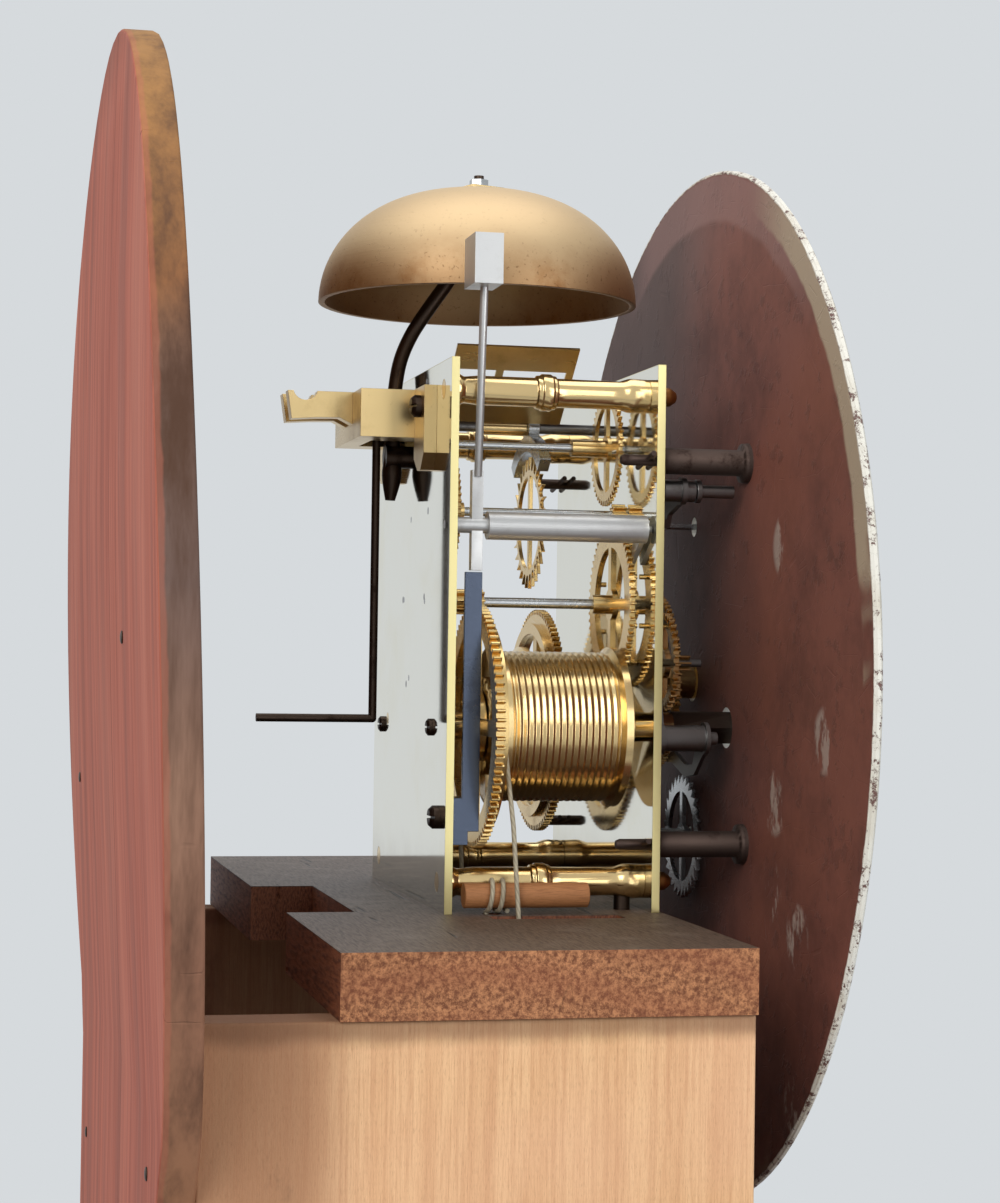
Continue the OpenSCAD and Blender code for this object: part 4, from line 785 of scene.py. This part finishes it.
def mark_ring(name, finish_name, count, radius, width, length, centre, dots):
    """Marks set round a ring on the dial's front: strokes, or dots whose radius is the width."""
    g = Grown("Ring of marks", count=60, radius=0.1, width=0.001, length=0.004, height=0.0001)
    circle = {"Vertices": g.given("count"), "Radius": g.given("radius")}
    wide, tall = g.given("width"), g.given("height")
    if dots:
        mark = g.node("GeometryNodeMeshCylinder", values={"Vertices": 16, "Radius": wide, "Depth": tall})
    else:
        size = g.node("ShaderNodeCombineXYZ", values={0: g.given("length"), 1: wide, 2: tall})
        mark = g.node("GeometryNodeMeshCube", values={"Size": size})
    outwards = {"Vector": g.node("GeometryNodeInputPosition")}
    facing = g.node("FunctionNodeAlignRotationToVector", {"axis": "X"}, outwards)
    points = g.node("GeometryNodeMeshCircle", values=circle)
    ring = {"Points": points, "Instance": mark, "Rotation": facing}
    marks = g.node("GeometryNodeInstanceOnPoints", values=ring)
    place = (centre[0], DIAL_FRONT - 0.00005, SEAT_TOP + centre[1])
    upright = {"Geometry": marks, "Rotation": (math.pi / 2, 0, 0), "Translation": place}
    stood = g.node("GeometryNodeTransform", values=upright)
    sizes = {"count": count, "radius": radius, "width": width, "length": length, "height": MARK_HEIGHT}
    return g.mesh(name, stood, finish_name, **sizes)


def studs_at(name, finish_name, points, radius, rise, facing):
    """Round heads, such as nails, at each of the points."""
    g = Grown("Heads at points", radius=0.002, rise=0.001)
    line = bpy.data.meshes.new(name + "_points")
    line.from_pydata([tuple(p) for p in points], [], [])
    holder = linked(name + "_points", line)
    places = g.node("GeometryNodeObjectInfo", values={"Object": holder}, out=4)
    wide = g.given("radius")
    dome = g.node("GeometryNodeMeshUVSphere", values={"Segments": 20, "Rings": 10, "Radius": wide})
    low = g.node("ShaderNodeCombineXYZ", values={0: 1.0, 1: 1.0, 2: g.given("rise") / wide})
    flat = g.node("GeometryNodeTransform", values={"Geometry": dome, "Rotation": facing, "Scale": low})
    spots = g.node("GeometryNodeMeshToPoints", values={0: places, "Radius": 0.001})
    heads = g.node("GeometryNodeInstanceOnPoints", values={"Points": spots, "Instance": flat})
    made = g.mesh(name, heads, finish_name, radius=radius, rise=rise)
    bpy.data.objects.remove(holder)
    return made


# Operators: the camera and the lines come first


CAMERA_PLACE = Vector((-0.7989, PLATE_BACK + 0.1498, SEAT_TOP + 0.0769))
CAMERA_LOOK = Vector((0.9755, -0.2189, 0.0208)).normalized()
CAMERA_ROLL = math.radians(0.83)


class CLOCK_OT_camera(bpy.types.Operator):
    """Stand the camera where the photograph was taken"""

    bl_idname = "clock.camera"
    bl_label = "Camera"

    def execute(self, context):
        data = bpy.data.cameras.new("Photograph")
        data.lens, data.sensor_width, data.sensor_fit = context.scene.clock_sizes.lens, 36.0, "AUTO"
        data.clip_start, data.clip_end = 0.02, 60
        camera = linked("Photograph", data)
        level = CAMERA_LOOK.cross(Vector((0, 0, 1))).normalized()
        upright = level.cross(CAMERA_LOOK)
        across = level * math.cos(CAMERA_ROLL) + upright * math.sin(CAMERA_ROLL)
        up = upright * math.cos(CAMERA_ROLL) - level * math.sin(CAMERA_ROLL)
        axes = (across, up, -CAMERA_LOOK, CAMERA_PLACE)
        camera.matrix_world = Matrix([[axis[i] for axis in axes] for i in range(3)] + [(0, 0, 0, 1)])
        context.scene.camera = camera
        return {"FINISHED"}


# The lines' routes in millimetres from the movement's datum, as the part's source has them
LINE_Y = -22.0
WOUND_Y = -17.0
BEND_Z = 26.0
SEAT_UNDER = -17.7
DRUM = (37.0, 55.0)
DRUM_TO_LINE = 24.05
LEAVES_AT = math.radians(7)
STRIKE_OFF = (-DRUM[0] - DRUM_TO_LINE * math.cos(LEAVES_AT), DRUM[1] + DRUM_TO_LINE * math.sin(LEAVES_AT))
FALLS = {"strike": STRIKE_OFF[0] - 9.3, "going": DRUM[0] - DRUM_TO_LINE}
PEGS = {"strike": -60.4, "going": 60.4}
TIED_Y = -13.0
PEG_R = 3.7
PEG_Z = PEG_R + 1.4 + 0.3
WRAP_R = PEG_R + 0.7 + 0.2
PULLEYS = {"strike": -53.0, "going": 38.0}
PULLEY_Z = 360.0 - 1690.0
PULLEY_R = 25.0
BEND_LEG = 15.0


def round_pulley(x):
    """The line's way round the pulley at that x, from leg to leg."""
    turns = [math.radians(a) for a in range(180, 361, 12)]
    bend = [(x + PULLEY_R * math.cos(a), PULLEY_Z + PULLEY_R * math.sin(a)) for a in turns]
    legs = [(x + side * PULLEY_R, PULLEY_Z + BEND_LEG) for side in (-1, 1)]
    return [at(u, LINE_Y, v) for u, v in [legs[0], *bend, legs[1]]]


def round_peg(x):
    """The line's way up through the seat board and round the peg at that x."""
    turns = [(k, math.radians(180 + k * 20)) for k in range(37)]
    wraps = [at(x + WRAP_R * math.sin(a), TIED_Y - k * 0.18, PEG_Z + WRAP_R * math.cos(a)) for k, a in turns]
    return [at(x, TIED_Y, SEAT_UNDER), at(x, TIED_Y, -6), *wraps]


def line_routes():
    """Each line's name and its points."""
    strike_x, strike_z = STRIKE_OFF
    tops = {
        "strike": [at(strike_x, WOUND_Y, strike_z), at(strike_x - 4, LINE_Y + 2, BEND_Z)],
        "going": [at(FALLS["going"], WOUND_Y, DRUM[1]), at(FALLS["going"], LINE_Y + 2, BEND_Z)],
    }
    routes = {}
    for side, top in tops.items():
        routes[side + "_line_top"] = [*top, at(FALLS[side], LINE_Y, SEAT_UNDER)]
    for side in tops:
        bend = round_pulley(PULLEYS[side])
        routes[side + "_peg_turns"] = round_peg(PEGS[side])
        routes[side + "_fall"] = [at(FALLS[side], LINE_Y, SEAT_UNDER - 0.1), bend[0]]
        routes[side + "_bend"] = bend
        routes[side + "_peg_fall"] = [at(PEGS[side], TIED_Y, SEAT_UNDER - 0.1), bend[-1]]
    return routes


class CLOCK_OT_lines(bpy.types.Operator):
    """Make the gut lines that hang the weights and are tied round the wooden pegs"""

    bl_idname = "clock.lines"
    bl_label = "Gut lines"

    def execute(self, context):
        d = context.scene.clock_sizes.line_d
        for name, points in line_routes().items():
            side = name.split("_")[0]
            body = side + "_load" if name.endswith("_bend") else FIXED
            form = tube_form(points, [d / 2] * len(points))
            made = piece(name, mesh_of(name, form, 60), body, "gut")
            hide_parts(side + "_falls" if name.endswith(("_fall", "_bend")) else "gut_lines")
            if name.endswith("_fall"):
                joint = side + "_weight_rise"
                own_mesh(made)
            long = sum((b - a).length for a, b in zip(points, points[1:]))
        return {"FINISHED"}


LAMPS_AIM = Vector((0, 0, 1.72))


class CLOCK_OT_stage(bpy.types.Operator):
    """Set the pale floor, the studio lights and the background"""

    bl_idname = "clock.stage"
    bl_label = "Stage and lights"

    def execute(self, context):
        form = bmesh.new()
        bmesh.ops.create_circle(form, cap_ends=True, radius=3.2, segments=96)
        floor = linked("floor", mesh_of("floor", form))
        m = Finish("Pale floor")
        pale = m.layered(tint(222, 225, 228), (m.noise(3, 2) * 0.2, (214, 217, 220)))
        floor.data.materials.append(m.done(pale, 0.8))
        for name, place, size, power, colour in (
            ("Key", (-1.9, 1.5, 2.9), (1.6, 1.6), 34, (1.0, 0.985, 0.96)),
            ("Fill", (-2.1, -1.3, 2.0), (1.4, 1.8), 22, (0.98, 0.99, 1.0)),
            ("Top", (0.1, 0.0, 3.3), (1.8, 1.4), 13, (1.0, 1.0, 1.0)),
            ("Far", (1.5, 2.2, 2.6), (1.2, 1.6), 8, (0.96, 0.98, 1.0)),
        ):
            data = bpy.data.lights.new(name, "AREA")
            data.shape, data.energy, data.color = "RECTANGLE", power, colour
            data.size, data.size_y = size
            lamp = linked(name, data)
            lamp.location = place
            lamp.rotation_euler = (LAMPS_AIM - Vector(place)).to_track_quat("-Z", "Y").to_euler()
        world = bpy.data.worlds.new("Studio")
        context.scene.world = world
        world.use_nodes = True
        b = Bench(world.node_tree)
        camera, glossy, through = (b.node("ShaderNodeLightPath", out=i) for i in (0, 3, 6))
        direct = camera.maths("MAXIMUM", glossy.maths("MAXIMUM", through))
        backdrop = b.node("ShaderNodeBackground", values={"Color": tint(214, 218, 221), "Strength": 1.0})
        glow = b.node("ShaderNodeBackground", values={"Color": tint(232, 238, 244), "Strength": 0.42})
        both = b.node("ShaderNodeMixShader", values={0: direct, 1: glow, 2: backdrop})
        b.node("ShaderNodeOutputWorld", values={0: both})
        context.scene.view_settings.view_transform = "Standard"
        return {"FINISHED"}


class CLOCK_OT_case(bpy.types.Operator):
    """Finish the case: backboard, sides, front, door, mouldings, base and the old nails"""

    bl_idname = "clock.case"
    bl_label = "Case"

    def execute(self, context):
        sizes = context.scene.clock_sizes
        dress("painted board", sizes.wood_edge, "backboard")
        dress("bare pine", sizes.wood_edge, "trunk_sides")
        dress("case wood", sizes.wood_edge, "trunk_front_frame", "trunk_door")
        dress("moulding wood", sizes.wood_edge * 0.5, "case_mouldings")
        dress("case wood", sizes.wood_edge * 0.5, "base_case")
        dress("floor pine", 0.0, "floor_board")
        dress("case brass", sizes.edge, "door_hardware", "hinge_pins")
        nails = ((-84, 80.2), (134, 30.4), (-128, -60), (120, -95), (-120, -420), (130, -760))
        spots = [at(x, 0, z) for x, z in nails]
        for spot in spots:
            spot.y = board_rear(spot.z) + 0.0002
        heads = studs_at("board_nails", "browned steel", spots, 0.0019, 0.0005, (math.pi / 2, 0, 0))
        piece("board_nails", heads, FIXED)
        return {"FINISHED"}


class CLOCK_OT_seat(bpy.types.Operator):
    """Finish the seat board and the pegs of the lines"""

    bl_idname = "clock.seat"
    bl_label = "Seat board"

    def execute(self, context):
        dress("seat wood", context.scene.clock_sizes.wood_edge, "seat_board")
        dress("peg wood", 0.0004, "line_pegs")
        return {"FINISHED"}


PLATES_FRONT = at(0, -66, 0).y


def before_plates(corners):
    """Whether a face is all in front of the front plate."""
    return max(c.y for c in corners) < PLATES_FRONT + 0.0001


class CLOCK_OT_plates(bpy.types.Operator):
    """Finish the plates, the cock, the screws and the pillars"""

    bl_idname = "clock.plates"
    bl_label = "Plates and pillars"

    def execute(self, context):
        edge = context.scene.clock_sizes.edge
        dress("plate brass", edge, "back_plate", "front_plate")
        dress("cock brass", edge * 1.5, "back_cock")
        dress("browned steel", edge, "steel_screws")
        soft_edged("pillars", "golden brass", edge, before_plates, ["finial brass"])
        dress("grey steel", edge, "front_studs")
        return {"FINISHED"}


BELL_Y = -20.5
BELL_R = 0.051
BELL_H = 0.0367
BELL_WALL = 0.002
BELL_BORE = 0.0017


class CLOCK_OT_bell(bpy.types.Operator):
    """Turn the bell and finish its stand and nut"""

    bl_idname = "clock.bell"
    bl_label = "Bell"

    def execute(self, context):
        def curve(radius, height):
            angles = [math.radians(2.5 * k) for k in range(37)]
            points = [(radius * max(math.cos(a), 0.0) ** 0.82, height * math.sin(a) ** 1.02) for a in angles]
            return [p for p in points if p[0] > BELL_BORE + 0.0001] + [(BELL_BORE, height)]

        mouth = BELL_R - BELL_WALL
        inner = curve(mouth, BELL_H - BELL_WALL)
        lip = [(mouth + 0.0003, -0.00012), (BELL_R - 0.0003, -0.00012)]
        profile = inner[::-1] + lip + curve(BELL_R, BELL_H)
        form = turned(profile + profile[:1], at(0, BELL_Y, 189), axis="z", sides=128)
        bmesh.ops.remove_doubles(form, verts=form.verts, dist=1e-6)
        bmesh.ops.recalc_face_normals(form, faces=form.faces)
        mesh = mesh_of("bell_turned", form, 50)
        piece("bell_turned", mesh, FIXED, "bell metal", ["bell"])

        def above_washer(corners):
            return min(c.z for c in corners) > BELL_MOUTH + BELL_H + 0.0011

        soft_edged("bell_nut", "golden brass", 0.0002, above_washer, ["bright steel"])
        path = smooth_curve([
            (8.7, 5.4, 126, 1.6), (8.6, 5.0, 134, 3.2), (8.4, 5.0, 142, 2.4), (8.2, 4.9, 152, 2.3),
            (7.4, 4.5, 162, 2.3), (5.8, 3.2, 171, 2.3), (3.6, 0.2, 179, 2.3), (1.6, -4.6, 187, 2.3),
            (0.6, -10.0, 195, 2.3), (0.2, -14.8, 202.5, 2.3), (0, -18.6, 210, 2.4), (0, BELL_Y, 218, 2.6),
            (0, BELL_Y, 222, 2.6),
        ])
        form = tube_form([at(*p[:3]) for p in path], [p[3] / 1000 for p in path], 20)
        for axis, radius, start, end in (
            ("y", 3.6, (8.7, 0, 140), -4), ("y", 4.2, (8.7, 4, 140), -3.4),
            ("z", 3.4, (0, BELL_Y, 218.8), 4.2), ("z", 1.6, (0, BELL_Y, 222.8), 8),
        ):
            r, tip = radius / 1000, end / 1000
            add_form(form, turned([(0, 0), (r, 0), (r, tip), (0, tip)], at(*start), axis, 32))
        stand = mesh_of("bell_stand_smooth", form, 40)
        piece("bell_stand_smooth", stand, FIXED, "browned steel", ["bell_stand"])
        return {"FINISHED"}


# Wheels and barrels with their arbors: the axle in millimetres, how far from it steel reaches, and the brass
ARBORS = (
    ("going_barrel", 37, 55, 0.0, "golden brass"),
    ("strike_barrel", -37, 55, 0.0, "golden brass"),
    ("centre_wheel", 0, 69, 2.4, "wheel brass"),
    ("third_wheel", 10.3, 94.1, 2.2, "wheel brass"),
    ("pin_wheel", -24.5, 93.1, 2.2, "wheel brass"),
    ("gathering_wheel", -28, 121, 2.0, "wheel brass"),
    ("warning_wheel", -25, 142, 1.8, "wheel brass"),
    ("fly", -23, 161.4, 1.8, "cock brass"),
)


class CLOCK_OT_trains(bpy.types.Operator):
    """Finish the wheels, barrels and arbors of the two trains"""

    bl_idname = "clock.trains"
    bl_label = "Trains"

    def execute(self, context):
        edge = context.scene.clock_sizes.edge
        dress("wheel brass", edge * 0.6, "going_great_wheel", "strike_great_wheel")
        for name, x, z, reach, brass_name in ARBORS:
            axle, barrel = at(x, 0, z), name.endswith("barrel")

            def steel_near(corners, axle=axle, reach=reach / 1000):
                thin = max(math.hypot(c.x - axle.x, c.z - axle.z) for c in corners) < reach
                return thin or max(c.y for c in corners) < PLATES_FRONT + 0.0005

            steel = "browned steel" if barrel else "bright steel"
            soft_edged(name, brass_name, 0.0 if barrel else edge * 0.6, steel_near, [steel])
        dress("wheel brass", edge * 0.5, "escape_wheel")
        dress("bright steel", edge * 0.5, "escape_arbor")
        dress("bright steel", edge, "anchor")

        def along_arbor(corners):
            ys = [c.y for c in corners]
            collet = at(0, -21, 0).y > max(ys) and min(ys) > at(0, -38, 0).y
            wide = max(math.hypot(c.x, c.z - at(0, 0, 150).z) for c in corners) > 0.0021
            return 1 if min(ys) > PLATE_BACK else 2 if collet and wide else 0

        soft_edged("pallet_arbor", "grey steel", edge, along_arbor, ["browned steel", "golden brass"])
        return {"FINISHED"}


HALF_PAINT = 0.00004
HOURS = ("XII", "I", "II", "III", "IIII", "V", "VI", "VII", "VIII", "IX", "X", "XI")


class CLOCK_OT_strike_work(bpy.types.Operator):
    """Finish the hammer, its spring, the rack work and the wheels behind the dial"""

    bl_idname = "clock.strike_work"
    bl_label = "Striking and motion work"

    def execute(self, context):
        edge = context.scene.clock_sizes.edge
        dress("filed steel", edge * 2, "hammer")
        dress("spring steel", edge, "hammer_spring")
        dress("grey steel", edge * 0.6, "rack", "rack_hook", "lifting_piece", "gathering_pallet")
        dress("bright steel", edge * 0.6, "date_wheel")
        dress("wheel brass", edge * 0.5, "cannon_wheel", "minute_wheel", "hour_wheel")
        return {"FINISHED"}


def numeral_form(text, height):
    """A Roman numeral as flat strokes with serifs, its middle at the origin and its foot towards -Y."""
    form = bmesh.new()
    thick, thin, gap = height * 0.16, height * 0.045, height * 0.09
    foot, head, reach = -height / 2, height / 2, thick * 0.95
    widths = {"I": thick, "V": height * 0.62, "X": height * 0.62}

    def bar(low, high, w):
        return [(low - w / 2, foot), (low + w / 2, foot), (high + w / 2, head), (high - w / 2, head)]

    x = -(sum(widths[c] for c in text) + gap * (len(text) - 1)) / 2
    for c in text:
        w = widths[c]
        left, middle, right = x + thick / 2, x + w / 2, x + w - thin
        if c == "I":
            quads = [bar(middle, middle, thick)]
            serifs = [(middle, foot), (middle, head)]
        elif c == "V":
            quads = [bar(middle, left, thick), bar(middle, right, thin * 1.5)]
            serifs = [(left, head), (right, head)]
        else:
            quads = [bar(x + w - thick / 2, left, thick), bar(x + thin, right, thin * 1.5)]
            serifs = [(left, head), (right, head), (x + w - thick / 2, foot), (x + thin, foot)]
        for u, v in serifs:
            inward = v + (thin if v < 0 else -thin)
            quads.append([(u - reach, v), (u + reach, v), (u + reach, inward), (u - reach, inward)])
        for q in quads:
            area = sum(a[0] * b[1] - b[0] * a[1] for a, b in zip(q, q[1:] + q[:1]))
            ring = [form.verts.new((*p, 0)) for p in (q if area > 0 else q[::-1])]
            top = [form.verts.new((v.co.x, v.co.y, 2 * HALF_PAINT)) for v in ring]
            form.faces.new(top)
            for k in range(4):
                form.faces.new([ring[k], ring[(k + 1) % 4], top[(k + 1) % 4], top[k]])
            form.faces.new(ring[::-1])
        x += w + gap
    return form


def on_dial(form, turn, radius, centre):
    """Places a flat form at a share of a turn on the dial's front, its foot towards the centre."""
    form.transform(Matrix.Translation((0, radius, 0)))
    form.transform(Matrix.Rotation(-turn * 2 * math.pi, 4, "Z"))
    form.transform(Matrix.Rotation(math.pi / 2, 4, "X"))
    form.transform(Matrix.Translation((centre[0], DIAL_FRONT, SEAT_TOP + centre[1])))


def figure_form(text, height):
    """An Arabic figure as a thin flat form, its middle at the origin."""
    curve = bpy.data.curves.new("figure", "FONT")
    curve.body, curve.size, curve.extrude, curve.resolution_u = text, height * 1.4, HALF_PAINT, 3
    curve.align_x = curve.align_y = "CENTER"
    mesh = evaluated_mesh(linked("figure", curve))
    form = bmesh.new()
    form.from_mesh(mesh)
    form.transform(Matrix.Translation((0, 0, HALF_PAINT)))
    bpy.data.curves.remove(curve)
    bpy.data.meshes.remove(mesh)
    return form


class CLOCK_OT_dial(bpy.types.Operator):
    """Finish the dial and its feet, paint the numerals and marks, and finish the hands"""

    bl_idname = "clock.dial"
    bl_label = "Dial and hands"

    def execute(self, context):
        sizes = context.scene.clock_sizes
        dress("dial paint", 0.0, "dial")
        dress("rough iron", 0.0, "dial_feet")
        dress("blued steel", sizes.edge * 0.6, "hour_hand", "minute_hand", "seconds_hand")
        labels = [(numeral_form(HOURS[k], sizes.numeral_h), k / 12, 0.1175, CENTRE) for k in range(12)]
        labels += [(figure_form(str(k * 5 or 60), 0.0062), k / 12, 0.1565, CENTRE) for k in range(12)]
        labels += [(figure_form(str(k * 15 or 60), 0.0034), k / 4, 0.0175, SECONDS) for k in range(4)]
        days = (1, 5, 10, 15, 20, 25, 30)
        labels += [(figure_form(str(day), 0.0030), (day - 1) / 31, 0.0165, DATE) for day in days]
        lettering = bmesh.new()
        for form, turn, radius, centre in labels:
            on_dial(form, turn, radius, centre)
            add_form(lettering, form)
        mesh = mesh_of("dial_numerals", lettering)
        piece("dial_numerals", mesh, FIXED, "numeral black")
        for name, count, radius, width, length, centre, dots in (
            ("minute_marks", 60, sizes.minutes_r, 0.0006, 0.005, CENTRE, False),
            ("minute_dots", 12, sizes.minutes_r - 0.0052, 0.0012, 0.001, CENTRE, True),
            ("second_marks", 60, 0.0212, 0.0003, 0.0022, SECONDS, False),
            ("date_marks", 31, 0.0205, 0.0003, 0.0020, DATE, False),
        ):
            mesh = mark_ring(name, "numeral black", count, radius, width, length, centre, dots)
            piece(name, mesh, FIXED)
        return {"FINISHED"}


class CLOCK_OT_weights(bpy.types.Operator):
    """Finish the driving weights and their pulleys"""

    bl_idname = "clock.weights"
    bl_label = "Weights"

    def execute(self, context):
        dress("cast iron", 0.0006, "going_weight", "strike_weight")
        dress("golden brass", 0.0002, "going_pulley", "strike_pulley")
        return {"FINISHED"}


class CLOCK_OT_pendulum(bpy.types.Operator):
    """Finish the pendulum parked in the case"""

    bl_idname = "clock.pendulum"
    bl_label = "Pendulum"

    def execute(self, context):
        dress("bright steel", 0.00015, "suspension")
        dress("grey steel", 0.0002, "pendulum_rod")
        dress("golden brass", 0.0003, "pendulum_bob")
        return {"FINISHED"}


class CLOCK_PT_panel(bpy.types.Panel):
    """The clock's sizes, colours and pieces."""

    bl_label = "Longcase clock"
    bl_idname = "CLOCK_PT_panel"
    bl_space_type = "VIEW_3D"
    bl_region_type = "UI"
    bl_category = "Clock"

    def draw(self, context):
        for group in (context.scene.clock_sizes, context.scene.clock_colours):
            for name in group.__annotations__:
                self.layout.prop(group, name)
        for operator in STEPS:
            self.layout.operator(operator.bl_idname)


STEPS = (
    CLOCK_OT_camera, CLOCK_OT_lines, CLOCK_OT_stage, CLOCK_OT_case, CLOCK_OT_seat, CLOCK_OT_plates,
    CLOCK_OT_bell, CLOCK_OT_trains, CLOCK_OT_strike_work, CLOCK_OT_dial, CLOCK_OT_weights,
    CLOCK_OT_pendulum,
)
CLASSES = (ClockSizes, ClockColours, *STEPS, CLOCK_PT_panel)


def register():
    for cls in CLASSES:
        bpy.utils.register_class(cls)
    bpy.types.Scene.clock_sizes = PointerProperty(type=ClockSizes)
    bpy.types.Scene.clock_colours = PointerProperty(type=ClockColours)


def unregister():
    del bpy.types.Scene.clock_colours
    del bpy.types.Scene.clock_sizes
    for cls in reversed(CLASSES):
        bpy.utils.unregister_class(cls)


def main():
    """Makes every piece in turn."""
    register()
    for operator in STEPS:
        group, name = operator.bl_idname.split(".")
        getattr(getattr(bpy.ops, group), name)()


if __name__ == "__main__":
    main()
